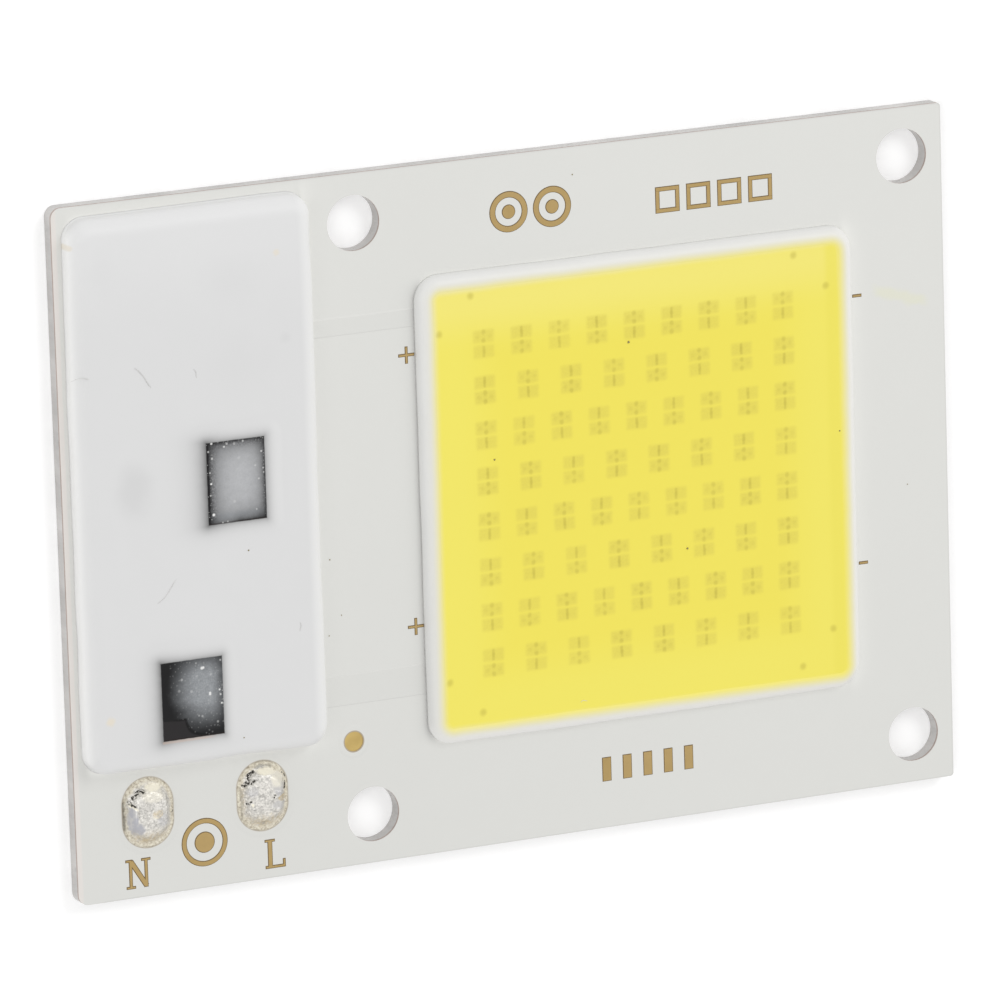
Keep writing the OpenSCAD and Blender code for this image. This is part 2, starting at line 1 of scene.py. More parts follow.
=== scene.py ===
"""Finishes of a mains LED module: silicone skins, phosphor, solder, marks and stage.

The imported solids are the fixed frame. Silicone, phosphor and solder get skins of their
own, and every other solid gets a procedural material. Lengths are in millimetres, apart
from those that are given as a property or multiplied by MM.
"""

import math
from functools import reduce

import bpy
import numpy as np
from bpy.props import FloatProperty, FloatVectorProperty, PointerProperty
from bpy.types import Operator, Panel, PropertyGroup
from mathutils import Matrix, Vector


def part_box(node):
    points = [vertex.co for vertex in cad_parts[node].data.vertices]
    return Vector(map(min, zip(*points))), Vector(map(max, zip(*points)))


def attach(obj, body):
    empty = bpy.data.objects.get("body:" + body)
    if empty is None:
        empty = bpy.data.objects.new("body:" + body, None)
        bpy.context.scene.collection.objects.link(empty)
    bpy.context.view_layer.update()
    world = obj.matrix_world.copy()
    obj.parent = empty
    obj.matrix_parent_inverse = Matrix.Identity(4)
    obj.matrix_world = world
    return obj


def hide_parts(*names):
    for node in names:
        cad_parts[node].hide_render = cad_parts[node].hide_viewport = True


bl_info = {
    "name": "LED module finishes",
    "version": (1, 0, 0),
    "blender": (4, 5, 0),
    "location": "3D Viewport > Sidebar > LED module",
    "description": "Skins, materials, marks and stage of a potted LED module",
    "category": "Object",
}

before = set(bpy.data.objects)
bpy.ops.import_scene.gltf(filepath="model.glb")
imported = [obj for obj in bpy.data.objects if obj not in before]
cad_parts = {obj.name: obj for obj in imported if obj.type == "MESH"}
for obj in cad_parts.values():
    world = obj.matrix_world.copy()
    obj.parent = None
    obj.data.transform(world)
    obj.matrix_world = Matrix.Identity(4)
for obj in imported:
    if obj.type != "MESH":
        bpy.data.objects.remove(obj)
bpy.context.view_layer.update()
MM = 0.001


def box_mm(node):
    """Lowest and highest corner of a solid, in millimetres."""
    low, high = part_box(node)
    return np.array(low) / MM, np.array(high) / MM


BOARD_HIGH = box_mm("solder_mask")[1]
DAM_LOW, DAM_HIGH = box_mm("led_dam")
FIELD_HIGH = box_mm("phosphor_fill")[1]
DIE_LOW, DIE_HIGH = box_mm("led_dies")
SLAB_LOW, SLAB_HIGH = box_mm("driver_potting")
IC_BOX = box_mm("driver_ic")
BRIDGE_BOX = box_mm("bridge_rectifier")
PAD_BOXES = {"n": box_mm("solder_joint_n"), "l": box_mm("solder_joint_l")}

MASK_TOP = BOARD_HIGH[2]
BOARD_RADIUS = 0.3
FIELD_X = (DAM_LOW[0] + DAM_HIGH[0]) / 2
BEAD_WIDTH = 1.4
BEAD_HEIGHT = DAM_HIGH[2] - DAM_LOW[2]
CREST_HALF = (DAM_HIGH[0] - DAM_LOW[0] - BEAD_WIDTH) / 2
CREST_RADIUS = 0.75
SLAB_CENTRE = (SLAB_LOW + SLAB_HIGH) / 2
SLAB_HALF = (SLAB_HIGH - SLAB_LOW)[:2] / 2
SLAB_RADIUS = 1.2
SLAB_ROLL = 1.0
SLAB_HEIGHT = SLAB_HIGH[2] - SLAB_LOW[2]
TEST_PAD = (-10.4, -12.75)
TEST_PAD_RADIUS = 0.57
PACKAGE_DRAFT = 0.095
FILM_COVER = 0.012
LATTICE = 64


def srgb(red, green, blue):
    """Linear colour of a display colour that is given from 0 to 255."""
    shares = np.array([red, green, blue]) / 255.0
    low = shares / 12.92
    high = ((shares + 0.055) / 1.055) ** 2.4
    return tuple(float(v) for v in np.where(shares <= 0.04045, low, high))


# ------------------------------------------------------------------- shapes


def smooth_noise(x, y, cell, seed):
    """Random heights from -1 to 1 on a square lattice, joined by smooth cubic steps."""
    table = np.random.default_rng(seed).uniform(-1.0, 1.0, (LATTICE, LATTICE))
    u, v = x / cell, y / cell
    i, j = np.floor(u).astype(int), np.floor(v).astype(int)
    s, t = u - i, v - j
    s, t = s * s * (3 - 2 * s), t * t * (3 - 2 * t)
    i, j, right, above = i % LATTICE, j % LATTICE, (i + 1) % LATTICE, (j + 1) % LATTICE
    near = table[i, j] * (1 - s) + table[right, j] * s
    far = table[i, above] * (1 - s) + table[right, above] * s
    return near * (1 - t) + far * t


def ease(value, low, high):
    """Smooth step: 0 up to low, 1 from high, and a cubic between them."""
    t = np.clip((value - low) / (high - low), 0.0, 1.0)
    return t * t * (3 - 2 * t)


def full_turn(steps):
    """Angles evenly round a circle, without the last that meets the first."""
    return np.linspace(0, 2 * math.pi, steps, endpoint=False)


def outline(half, radius, corner_steps, spacing):
    """Anticlockwise path round a rounded rectangle: core points and outward directions.

    A point of the path is core + radius * direction. The cores are the corner centres,
    joined by straight runs of evenly spaced points, and the directions turn a quarter
    round each corner.
    """
    corner = np.array(half) - radius
    signs = np.array([(1, -1), (1, 1), (-1, 1), (-1, -1)])
    cores, ways = [], []
    for k in range(4):
        here, there = corner * signs[k], corner * signs[(k + 1) % 4]
        turn = math.pi / 2 * (k - 1) + np.linspace(0, math.pi / 2, corner_steps + 1)
        cores.append(np.tile(here, (len(turn), 1)))
        ways.append(np.stack([np.cos(turn), np.sin(turn)], axis=1))
        steps = math.ceil(np.abs(there - here).max() / spacing)
        run = np.linspace(0, 1, steps + 1)[1:-1, None]
        cores.append(here + (there - here) * run)
        ways.append(np.tile(ways[-1][-1], (len(run), 1)))
    return np.concatenate(cores), np.concatenate(ways)


def with_height(flat, height):
    """Points of the plane with a height that fits their shape as a third coordinate."""
    return np.concatenate([flat, np.broadcast_to(height, flat[..., :1].shape)], axis=-1)


def carried_rings(path, radius, insets, heights):
    """Rings of a profile carried round a path: insets[r] inside it, at heights[r]."""
    cores, ways = path
    reach = radius - np.array(insets, float)[:, None, None]
    return with_height(cores + reach * ways, np.array(heights, float)[:, None, None])


def shrunk_rings(ring, shares):
    """Copies of a ring drawn towards the origin of X and Y by shares, heights kept."""
    flat = ring[:, :2] * np.array(shares, float)[:, None, None]
    return with_height(flat, ring[:, 2:])


def new_mesh(name, points, faces, smooth=False):
    """Mesh of points that are given in millimetres."""
    mesh = bpy.data.meshes.new(name)
    mesh.from_pydata((points.reshape(-1, 3) * MM).tolist(), [], faces)
    if smooth:
        mesh.shade_smooth()
    return mesh


def ring_mesh(name, rings, closed=False, smooth=True):
    """Mesh of one ring surface, or of several that share their counts.

    Quads join neighbouring rings. A pole shuts each end, unless the surface is closed,
    and its last ring meets the first.
    """
    rings = np.array(rings)
    count = len(rings) if rings.ndim == 4 else 1
    rows, columns = rings.shape[-3:-1]
    first = rows * columns * np.arange(count)[:, None]
    i = columns * np.arange(rows if closed else rows - 1)[:, None]
    j = np.arange(columns)
    upper, onward = (i + columns) % (rows * columns), (j + 1) % columns
    quads = np.stack([i + j, i + onward, upper + onward, upper + j], -1).reshape(-1, 4)
    faces = (quads + first[..., None]).reshape(-1, 4).tolist()
    points = rings.reshape(-1, 3)
    if not closed:
        last = first + (rows - 1) * columns
        pole = len(points) + 2 * np.arange(count)[:, None]
        for fan in ((pole, first + onward, first + j),
                    (last + j, last + onward, pole + 1)):
            faces += np.stack(np.broadcast_arrays(*fan), -1).reshape(-1, 3).tolist()
        ends = rings.reshape(count, rows, columns, 3)[:, [0, -1]]
        points = np.concatenate([points, ends.mean(axis=2).reshape(-1, 3)])
    return new_mesh(name, points, faces, smooth)


def bar_mesh(name, bars, tall):
    """Flat bars with bevelled tops that stand on the mask, all in one mesh.

    Each bar is (x, y, length, width, turn in degrees). Its eight corners are those of a
    unit block, drawn in by the bevel at the top, scaled, turned and moved.
    Bars that cross end at slightly different heights, so that no two tops coincide.
    """
    bevel, levels, level_step = 0.01, 8, 0.04
    bars = np.array(bars, float)
    block = np.array([(sx, sy, top) for top in (0, 1)
                      for sx, sy in ((-1, -1), (1, -1), (1, 1), (-1, 1))], float)
    half = bars[:, None, 2:4] / 2 - bevel * block[None, :, 2:3]
    flat = block[None, :, :2] * half
    turn = np.radians(bars[:, 4])[:, None]
    x = flat[..., 0] * np.cos(turn) - flat[..., 1] * np.sin(turn) + bars[:, 0:1]
    y = flat[..., 0] * np.sin(turn) + flat[..., 1] * np.cos(turn) + bars[:, 1:2]
    order = 1 + level_step * (np.arange(len(bars))[:, None] % levels)
    z = MASK_TOP + block[:, 2] * tall * order
    faces = np.array([(3, 2, 1, 0), (4, 5, 6, 7), (0, 1, 5, 4),
                      (1, 2, 6, 5), (2, 3, 7, 6), (3, 0, 4, 7)])
    faces = faces[None] + len(block) * np.arange(len(bars))[:, None, None]
    return new_mesh(name, np.stack([x, y, z], -1), faces.reshape(-1, 4).tolist())


def tube_rings(points, radius, sides=8):
    """Rings of a round thread along a path, each square to the path where it stands.

    The radius tapers off by the sixth power of the share of the way from the middle.
    """
    way = np.gradient(points, axis=0)
    way /= np.linalg.norm(way, axis=1, keepdims=True)
    across = np.cross(way, [0.0, 0.0, 1.0])
    across /= np.linalg.norm(across, axis=1, keepdims=True)
    over = np.cross(across, way)
    share = np.linspace(-1, 1, len(points))
    thick = radius * (1 - 0.7 * share ** 6)[:, None, None]
    turn = -full_turn(sides)[None, :, None]
    return points[:, None] + thick * (
        np.cos(turn) * across[:, None] + np.sin(turn) * over[:, None])


def new_piece(mesh, material, replaced=()):
    """Object of a finished mesh, named like it, that rides on the module's one body."""
    piece = bpy.data.objects.new(mesh.name, mesh)
    bpy.context.scene.collection.objects.link(piece)
    mesh.materials.append(material)
    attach(piece, "root")
    if replaced:
        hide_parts(*replaced)
    return piece


def dress(material, *nodes):
    """Puts a material in the slots of the named solids."""
    for node in nodes:
        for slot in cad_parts[node].material_slots:
            slot.material = material


# ---------------------------------------------------------------- materials


def feed(tree, term, place):
    """Links a value or a colour to an input, or sets the input to a constant."""
    if isinstance(term, Value):
        term = term.socket
    if isinstance(term, bpy.types.NodeSocket):
        tree.links.new(term, place)
    elif place.type == "RGBA":
        place.default_value = (*term[:3], 1.0)
    elif place.type == "VECTOR":
        place.default_value = term[:3]
    else:
        place.default_value = float(term)


def add_node(tree, kind, inputs=(), **settings):
    """New node with its settings, and with terms fed to its inputs."""
    node = tree.nodes.new(kind)
    for name, setting in settings.items():
        setattr(node, name, setting)
    for place, term in inputs:
        feed(tree, term, node.inputs[place])
    return node


class Value:
    """A number that a node works out, with the operators of arithmetic."""

    def __init__(self, tree, socket):
        self.tree = tree
        self.socket = socket

    def math(self, operation, *others):
        node = add_node(self.tree, "ShaderNodeMath", enumerate((self, *others)),
                        operation=operation)
        return Value(self.tree, node.outputs[0])

    def __add__(self, other):
        return self.math("ADD", other)

    def __sub__(self, other):
        return self.math("SUBTRACT", other)

    def __mul__(self, other):
        return self.math("MULTIPLY", other)

    def __truediv__(self, other):
        return self.math("DIVIDE", other)

    __radd__ = __add__
    __rmul__ = __mul__

    def __rsub__(self, other):
        return (self * -1.0) + other

    def size(self):
        return self.math("ABSOLUTE")

    def least(self, other):
        return self.math("MINIMUM", other)

    def most(self, other):
        return self.math("MAXIMUM", other)

    def decay(self, width):
        """1 at 0 and below, dying away as exp(-value / width)."""
        return (self.most(0.0) / -width).math("EXPONENT")

    def step(self, low, high):
        """Smooth step that is 0 at low and 1 at high, where low may be the larger."""
        node = add_node(self.tree, "ShaderNodeMapRange",
                        (("Value", self), ("From Min", low), ("From Max", high)),
                        interpolation_type="SMOOTHSTEP")
        return Value(self.tree, node.outputs["Result"])

    def hump(self, centre, half, soft):
        """1 within half of the centre, falling to 0 over the soft width outside it."""
        return (self - centre).size().step(half + soft, half)


def length(x, y):
    """Distance from the origin of two values."""
    return (x * x + y * y).math("SQRT")


def box_distance(x, y, half_x, half_y, radius=0.0):
    """Signed distance from a rounded rectangle about the origin, negative inside."""
    beyond_x = x.size() - (half_x - radius)
    beyond_y = y.size() - (half_y - radius)
    outside = length(beyond_x.most(0.0), beyond_y.most(0.0))
    return outside + beyond_x.most(beyond_y).least(0.0) - radius


class Finish:
    """A material with object coordinates in millimetres and one Principled shader."""

    def __init__(self, name, roughness=0.5, metallic=0.0, specular=0.5):
        self.material = bpy.data.materials.new(name)
        self.material.use_nodes = True
        self.tree = self.material.node_tree
        self.shader = self.tree.nodes["Principled BSDF"]
        for socket, amount in (("Roughness", roughness), ("Metallic", metallic),
                               ("Specular IOR Level", specular)):
            self.set(socket, amount)
        place = self.node("ShaderNodeTexCoord").outputs["Object"]
        scale = self.node("ShaderNodeVectorMath", ((0, place), ("Scale", 1 / MM)),
                          operation="SCALE")
        self.point = scale.outputs[0]
        self.x, self.y, self.z = self.split(self.point)

    def node(self, kind, inputs=(), **settings):
        return add_node(self.tree, kind, inputs, **settings)

    def set(self, socket, term):
        feed(self.tree, term, self.shader.inputs[socket])

    def split(self, socket):
        node = self.node("ShaderNodeSeparateXYZ", ((0, socket),))
        return [Value(self.tree, output) for output in node.outputs]

    def normal(self):
        return self.split(self.node("ShaderNodeNewGeometry").outputs["Normal"])

    def upright(self):
        """1 on walls and 0 on level faces."""
        return self.normal()[2].size().step(0.6, 0.4)

    def attribute(self, name):
        node = self.node("ShaderNodeAttribute", attribute_name=name)
        return Value(self.tree, node.outputs["Fac"])

    def placed(self, offset, stretch):
        """The point multiplied by stretch and moved by offset, for one pattern."""
        move = (offset, 0.7 * offset, 0.3 * offset)
        node = self.node("ShaderNodeVectorMath",
                         ((0, self.point), (1, stretch), (2, move)),
                         operation="MULTIPLY_ADD")
        return node.outputs[0]

    def noise(self, size, offset=0.0, detail=2.0, stretch=(1, 1, 1), roughness=0.5):
        """Cloudy noise from about -1 to 1 whose spots are size millimetres across."""
        node = self.node("ShaderNodeTexNoise",
                         (("Vector", self.placed(offset, stretch)), ("Scale", 1 / size),
                          ("Detail", detail), ("Roughness", roughness)))
        return (Value(self.tree, node.outputs[0]) - 0.5) * 3.0

    def cells(self, size, offset=0.0, stretch=(1, 1, 1)):
        """Distance to the nearest scattered point, in cells, and its random share."""
        node = self.node("ShaderNodeTexVoronoi",
                         (("Vector", self.placed(offset, stretch)),
                          ("Scale", 1 / size)))
        return (Value(self.tree, node.outputs["Distance"]),
                self.split(node.outputs["Color"])[0])

    def mix(self, first, second, factor):
        """First colour turning to second as factor goes from 0 to 1."""
        node = self.node("ShaderNodeMix", ((0, factor),), data_type="RGBA")
        places = [s for s in node.inputs if s.type == "RGBA"]
        for place, colour in zip(places, (first, second)):
            feed(self.tree, colour, place)
        return next(s for s in node.outputs if s.type == "RGBA")

    def shade(self, colour, factor):
        """A colour multiplied by a value."""
        node = self.node("ShaderNodeVectorMath", ((0, colour), ("Scale", factor)),
                         operation="SCALE")
        return node.outputs[0]

    def bump(self, height):
        """Bends the light as a relief of the given height in millimetres would."""
        node = self.node("ShaderNodeBump",
                         (("Distance", MM), ("Strength", 1.0), ("Height", height)))
        self.set("Normal", node.outputs[0])


def field_distance(f):
    """Distance from the crest of the dam, negative over the phosphor."""
    return box_distance(f.x - FIELD_X, f.y, CREST_HALF, CREST_HALF, CREST_RADIUS)


def silicone_glow(f, away_dam, away_slab, left):
    """Painted light that white silicone sheds on the mask beside it, most on its right
    side.

    The foot of the dam sheds none to the left, and both shed less towards the far side.
    """
    right_of_dam = (f.x - FIELD_X).step(12.9, 13.6)
    right_of_slab = (f.x - SLAB_CENTRE[0]).step(6.8, 7.3)
    clear_of_slab_left = (f.x - SLAB_CENTRE[0]).step(-7.3, -6.8)
    upper = f.y.step(0.0, 4.0)
    east = away_dam.decay(0.3) * right_of_dam * 0.27
    near = away_dam.decay(0.13) * (0.17 - upper * 0.09)
    near = (near + away_dam.decay(0.05) * upper * 0.09) * (1.0 - left)
    east = east.most(away_slab.decay(0.4) * right_of_slab * 0.3)
    foot = away_slab.decay(0.3) * (0.34 - upper * 0.26)
    foot = foot + away_slab.decay(0.08) * upper * 0.15
    return east.most(near.most(foot * clear_of_slab_left))


def mask_finish(look):
    """Satin white mask with faint copper bands, and painted shade and light by silicone
    feet.
    """
    f = Finish("white_mask_finish", roughness=look.mask_roughness)
    x, y = f.x, f.y
    mottle = f.noise(7.0, 3.0) * 0.006 + f.noise(1.1, 9.0, 3.0) * 0.004
    colour = f.shade(look.mask_colour, mottle + 1.0)
    # painted light: the board is a little lighter to its far side and to the right
    painted_light = y.step(-20, 20) * 0.026 + x.step(-12, 24) * 0.018
    colour = f.shade(colour, painted_light + 0.978)
    # copper bands between the slab and the field, seen through the mask
    beside = x.step(-12.6, -12.2) * x.step(-5.6, -6.2)
    bands = (y.hump(11.33, 0.46, 0.08) + y.hump(-9.7, 0.83, 0.08)) * beside
    colour = f.shade(colour, 1.0 - bands * 0.018)
    ridge = y.hump(11.86, 0.02, 0.07) * beside
    colour = f.shade(colour, ridge * 0.02 + 1.0)
    # a faint stain near the upper minus sign
    stain_x, stain_y = 24.7, 8.95
    drift = y - stain_y + (x - stain_x) * 0.3 + f.noise(0.8, 4.0) * 0.25
    stain = drift.hump(0.0, 0.1, 0.4) * x.hump(stain_x, 1.2, 0.8)
    colour = f.mix(colour, look.stain_colour, stain * 0.45)
    # painted shade: a soft grey line along the foot of the dam on its left side
    away_dam = field_distance(f) - BEAD_WIDTH / 2
    left = (x - FIELD_X).step(-12.9, -13.6)
    line = away_dam.decay(0.28) * left * y.size().step(13.9, 12.9)
    colour = f.mix(colour, look.shadow_colour, line * 0.55)
    away_slab = box_distance(x - SLAB_CENTRE[0], y - SLAB_CENTRE[1], *SLAB_HALF,
                             SLAB_RADIUS)
    # painted light on the mask beside the dam and the slab
    glow = silicone_glow(f, away_dam, away_slab, left)
    colour = f.shade(colour, glow + 1.0)
    # the mask is thin and creamy along the driver end, and grey on its cut sides
    edge = (x + f.noise(0.8, 6.0) * 0.03).step(-27.15, -27.3)
    colour = f.mix(colour, look.cream_colour, edge * 0.8)
    colour = f.mix(colour, look.edge_colour, f.upright() * 0.8)
    # rims of the mask round the pads
    test = length(x - TEST_PAD[0], y - TEST_PAD[1]) - TEST_PAD_RADIUS
    colour = f.mix(colour, look.rim_colour, test.hump(0.03, 0.02, 0.04) * 0.7)
    # a thin grey line where the mask ends at the edge of the board
    border = box_distance(x, y, *BOARD_HIGH[:2], BOARD_RADIUS).size().step(0.12, 0.02)
    colour = f.shade(colour, 1.0 - border * x.step(-26.5, -25.5) * 0.07)
    relief = bands * 0.02 + test.step(0.45, 0.25) * 0.02
    for low, high in PAD_BOXES.values():
        middle, half = (low + high) / 2, (high - low) / 2
        ring = box_distance(x - middle[0], y - middle[1], half[0], half[1], half[0])
        colour = f.mix(colour, look.rim_colour, ring.hump(0.02, 0.01, 0.05) * 0.45)
        relief = relief + ring.step(0.45, 0.2) * 0.02
    f.set("Base Color", colour)
    f.set("Roughness", f.noise(2.5, 6.0) * 0.04 + look.mask_roughness)
    f.bump(relief + f.noise(0.5, 2.0, 3.0) * 0.0012)
    return f.material


def metal_finish(look):
    """Aluminium: punched streaks on the sides, rolled grain on the back."""
    f = Finish("aluminium_finish", roughness=0.42, metallic=1.0)
    wall = f.upright()
    streak = f.noise(0.5, 5.0, 4.0, (1, 1, 0.25), 0.65)
    blotch = f.noise(2.2, 8.0, 3.0, (1, 1, 0.4))
    tear = f.noise(1.3, 2.0, 4.0, (1, 1, 3.0), 0.7).step(0.35, 0.9)
    grain = f.noise(0.6, 1.0, 4.0, (0.06, 3.0, 1.0))
    worn = f.shade(look.metal_colour, streak * 0.1 + blotch * 0.16 + 0.94)
    worn = f.mix(worn, look.tear_colour, tear * 0.5)
    rolled = f.shade(look.metal_colour, grain * 0.07 + 0.9)
    f.set("Base Color", f.mix(rolled, worn, wall))
    rough_wall, rough_back = streak * 0.08 + 0.45, grain * 0.06 + 0.36
    f.set("Roughness", rough_wall * wall + rough_back * (1.0 - wall))
    f.bump(streak * 0.012 * wall + grain * 0.003)
    return f.material


def laminate_finish(look):
    """Resin laminate, seen as a brown line along the cut edges."""
    f = Finish("laminate_finish", roughness=0.7)
    mottle = f.noise(0.7, 3.0, 4.0) * 0.16
    f.set("Base Color", f.shade(look.laminate_colour, mottle + 1.0))
    f.bump(f.noise(0.12, 7.0, 2.0) * 0.01)
    return f.material


def gold_finish(name, tone, look, grime):
    """Thin gold over copper: satin, a little uneven, dull where it has tarnished."""
    gloss = 0.42
    f = Finish(name, roughness=gloss, metallic=0.85)
    cloud = f.noise(0.45, 4.0, 3.0)
    dull = f.noise(1.6, 11.0, 2.0).step(-0.2, 0.9)
    colour = f.shade(tone, cloud * 0.05 + 1.0)
    f.set("Base Color", f.mix(colour, look.tarnish_colour, dull * grime))
    f.set("Roughness", cloud * 0.05 + gloss)
    f.bump(f.noise(0.07, 5.0) * 0.001)
    return f.material


def silicone_edge(f, white, yellow, look):
    """White silicone that turns to yellow across the crest of the dam.

    The yellow reaches a little further out towards the lower right.
    """
    fade = look.fade_width / MM
    lean = (f.y * 0.0042 - (f.x - FIELD_X) * 0.0054) + 0.08
    place = field_distance(f) + lean + f.noise(1.6, 12.0) * 0.03
    pale = place.step(fade * 0.9, -fade * 0.3) * 0.6
    white = f.mix(white, look.pale_colour, pale)
    return f.mix(white, yellow, place.step(fade / 2, -fade / 2))


def dam_finish(look):
    """Satin white bead with a painted glow on its thin outer flank, least on its left
    side.
    """
    gloss = 0.42
    f = Finish("dam_finish", roughness=gloss, specular=0.4)
    colour = f.shade(look.dam_colour, f.noise(3.0, 5.0) * 0.008 + 1.0)
    # painted light: the bead is lighter towards the far right
    lit = (f.x * 0.5 + f.y).step(-14.0, 14.0)
    colour = f.shade(colour, lit * 0.045 + 0.96)
    # painted light: a glow on the outer flank, strongest where it faces right and
    # towards the near side
    across, along = f.normal()[:2]
    outer = field_distance(f).step(0.0, 0.1)
    flank = (across * 1.2).most(along * 0.15).most(along * -1.0).most(across * -0.04)
    colour = f.mix(colour, look.glow_colour, (flank * outer).least(1.0))
    colour = silicone_edge(f, colour, look.phosphor_colour, look)
    # painted light: the far inner flank faces the light of the whole field
    facing = (along * -1.0).most(0.0) * (1.0 - outer)
    f.set("Base Color", f.shade(colour, facing * 0.09 + 1.0))
    f.set("Roughness", f.noise(1.2, 2.0) * 0.04 + gloss)
    f.bump(f.noise(0.9, 3.0) * 0.005)
    return f.material


# half the height between the two chips of a pair, and the rows of pairs
CHIP_OFFSET = 0.435
CHIP_ROWS = 8
CHIP_WIDTH = 1.14
CHIP_REACH = 0.33
CHIP_HALF = (0.64, 0.36)
# the two alignment dots of a corner, from the middle of the field
CORNER_DOT = (12.13, 10.13)


def chip_pattern(f, look):
    """Bodies, contacts and gaps of the chips, each 0 to 1 times how clearly they show.

    The rows are counted from the top and the pairs from the left, by rounding. Each
    chip is a soft rounded rectangle with its contacts: two dots above and below, or one
    upright bar, which take turns along a row and between rows. The long rows hold one
    pair more. The chips lie deep in the silicone, so they show shifted to one side.
    """
    right, up = (shift / MM for shift in look.depth_shift)
    x, y = f.x - FIELD_X + right, f.y + up
    x, y = x + f.noise(0.9, 15.0) * 0.035, y + f.noise(0.9, 31.0) * 0.035
    row_top = (DIE_HIGH[1] - DIE_LOW[1]) / 2 - CHIP_OFFSET - CHIP_REACH
    row_pitch = 2 * row_top / (CHIP_ROWS - 1)
    span = DIE_HIGH[0] - DIE_LOW[0] - CHIP_WIDTH
    long_pitch, short_pitch = span / 8, span / 7
    row = ((y * -1.0 + row_top) / row_pitch).math("ROUND")
    odd = row.math("FLOORED_MODULO", 2.0)
    pitch = odd * (short_pitch - long_pitch) + long_pitch
    column = ((x + span / 2) / pitch).math("ROUND")
    inside = (column.hump(4.0, 4.5, 0.01)
              * row.hump((CHIP_ROWS - 1) / 2, CHIP_ROWS / 2, 0.01))
    within = ((column + 0.5) * pitch).step(span + 1.6, span + 1.5)
    near_x = x + span / 2 - column * pitch
    near_y = y - row_top + row * row_pitch
    above = near_y.step(-0.001, 0.001)
    chip_y = near_y.size() - CHIP_OFFSET
    turn = (row + column + above).math("FLOORED_MODULO", 2.0)
    speckle = f.noise(0.13, 44.0, 2.0) * 0.3 + 1.0
    body = box_distance(near_x, chip_y, *CHIP_HALF, 0.12).step(0.15, -0.15) * speckle
    gap = near_x.hump(0.0, 0.02, 0.16)
    dots = length(near_x * 1.1, chip_y.size() - 0.25).step(0.22, 0.05)
    sides = length(near_x.size() - 0.38, chip_y).step(0.2, 0.03) * 0.4
    bar = near_x.hump(0.0, 0.03, 0.1) * chip_y.hump(0.0, 0.26, 0.12)
    knot = length(near_x, chip_y).step(0.2, 0.04) * 0.35
    contact = (dots + sides) * turn + (bar + knot) * (1.0 - turn)
    vary = f.noise(2.8, 21.0) * 0.25 + 1.0
    show = inside * within * look.chip_show * vary
    return x, y, body * show, contact * show, gap * body * show


def phosphor_finish(look):
    """Yellow silicone with the chips showing as soft darker pairs in their rows."""
    f = Finish("phosphor_finish", roughness=0.34, specular=0.4)
    x, y, body, contact, gap = chip_pattern(f, look)
    # broad tones: deeper in the middle, lighter above, greener at the edges
    deep = field_distance(f).step(-1.5, -5.0)
    colour = f.mix(look.phosphor_colour, look.deep_colour, deep)
    colour = f.mix(colour, look.light_colour, f.y.step(9.0, 12.0) * 0.8)
    colour = f.shade(colour, f.noise(5.0, 2.0) * 0.006 + 1.0)
    east = (f.x - FIELD_X).hump(12.25, 0.15, 0.5)
    colour = f.mix(colour, look.green_colour, east * 0.7)
    colour = f.mix(colour, look.chip_colour, body * 0.42)
    colour = f.mix(colour, look.contact_colour, contact * 0.3)
    colour = f.shade(colour, 1.0 - gap * 0.02)
    # alignment dots, two near each corner
    across, up = x.size(), y.size()
    far, near = CORNER_DOT
    dot = length(across - far, up - near).least(length(across - near, up - far))
    colour = f.mix(colour, look.contact_colour, dot.step(0.32, 0.05) * 0.42)
    f.set("Base Color", silicone_edge(f, look.dam_colour, colour, look))
    f.set("Roughness", f.noise(2.0, 4.0) * 0.03 + 0.4)
    f.bump(f.noise(2.6, 7.0) * 0.006 + f.noise(0.4, 3.0) * 0.0008)
    return f.material


# Specks are (x, y, radius, strength) from the middle of what they lie on.
UPPER_SPECKS = (
    (-1.52, 2.3, 0.07, 0.8), (-0.77, 2.04, 0.06, 0.7), (-0.6, 2.19, 0.07, 0.4),
    (-0.15, 2.14, 0.08, 0.3), (0.38, 2.24, 0.06, 0.5), (-1.73, 1.85, 0.06, 0.5),
    (-1.52, 1.44, 0.065, 0.55), (-1.67, 0.64, 0.055, 0.5), (-1.62, 0.0, 0.06, 1.0),
    (-1.67, -0.66, 0.055, 0.5), (-1.53, -1.78, 0.085, 1.0), (1.47, 1.52, 0.055, 0.6),
    (1.55, 0.55, 0.05, 0.5), (1.57, 0.3, 0.05, 0.45), (1.08, 0.75, 0.06, 0.3),
    (1.27, -0.03, 0.06, 0.4), (-0.25, -1.16, 0.09, 0.2), (0.1, 1.3, 0.09, 0.15),
    (1.07, -1.76, 0.05, 0.4), (-1.0, -2.28, 0.05, 0.4), (-0.7, -2.26, 0.05, 0.4))
LOWER_SPECKS = (
    (0.62, 1.69, 0.09, 0.9), (0.7, 1.71, 0.08, 0.9), (1.06, 0.2, 0.075, 0.9),
    (1.06, 0.13, 0.075, 0.9), (1.65, 0.32, 0.06, 0.8), (1.7, 0.04, 0.06, 0.6),
    (1.75, -0.46, 0.06, 0.8), (-0.62, 1.17, 0.08, 0.3), (-0.05, 0.42, 0.08, 0.25),
    (-0.8, 0.54, 0.08, 0.2), (0.55, -1.08, 0.07, 0.3), (0.35, -1.03, 0.06, 0.25),
    (1.47, -1.51, 0.07, 0.3), (1.15, 1.27, 0.08, 0.2), (0.3, 1.27, 0.07, 0.2),
    (1.75, 2.02, 0.06, 0.4), (0.27, 2.02, 0.06, 0.25))
SLAB_STAINS = ((4.93, 12.88, 0.2, 0.8), (-6.1, -12.68, 0.26, 1.0),
               (-7.25, 14.4, 0.18, 0.8))
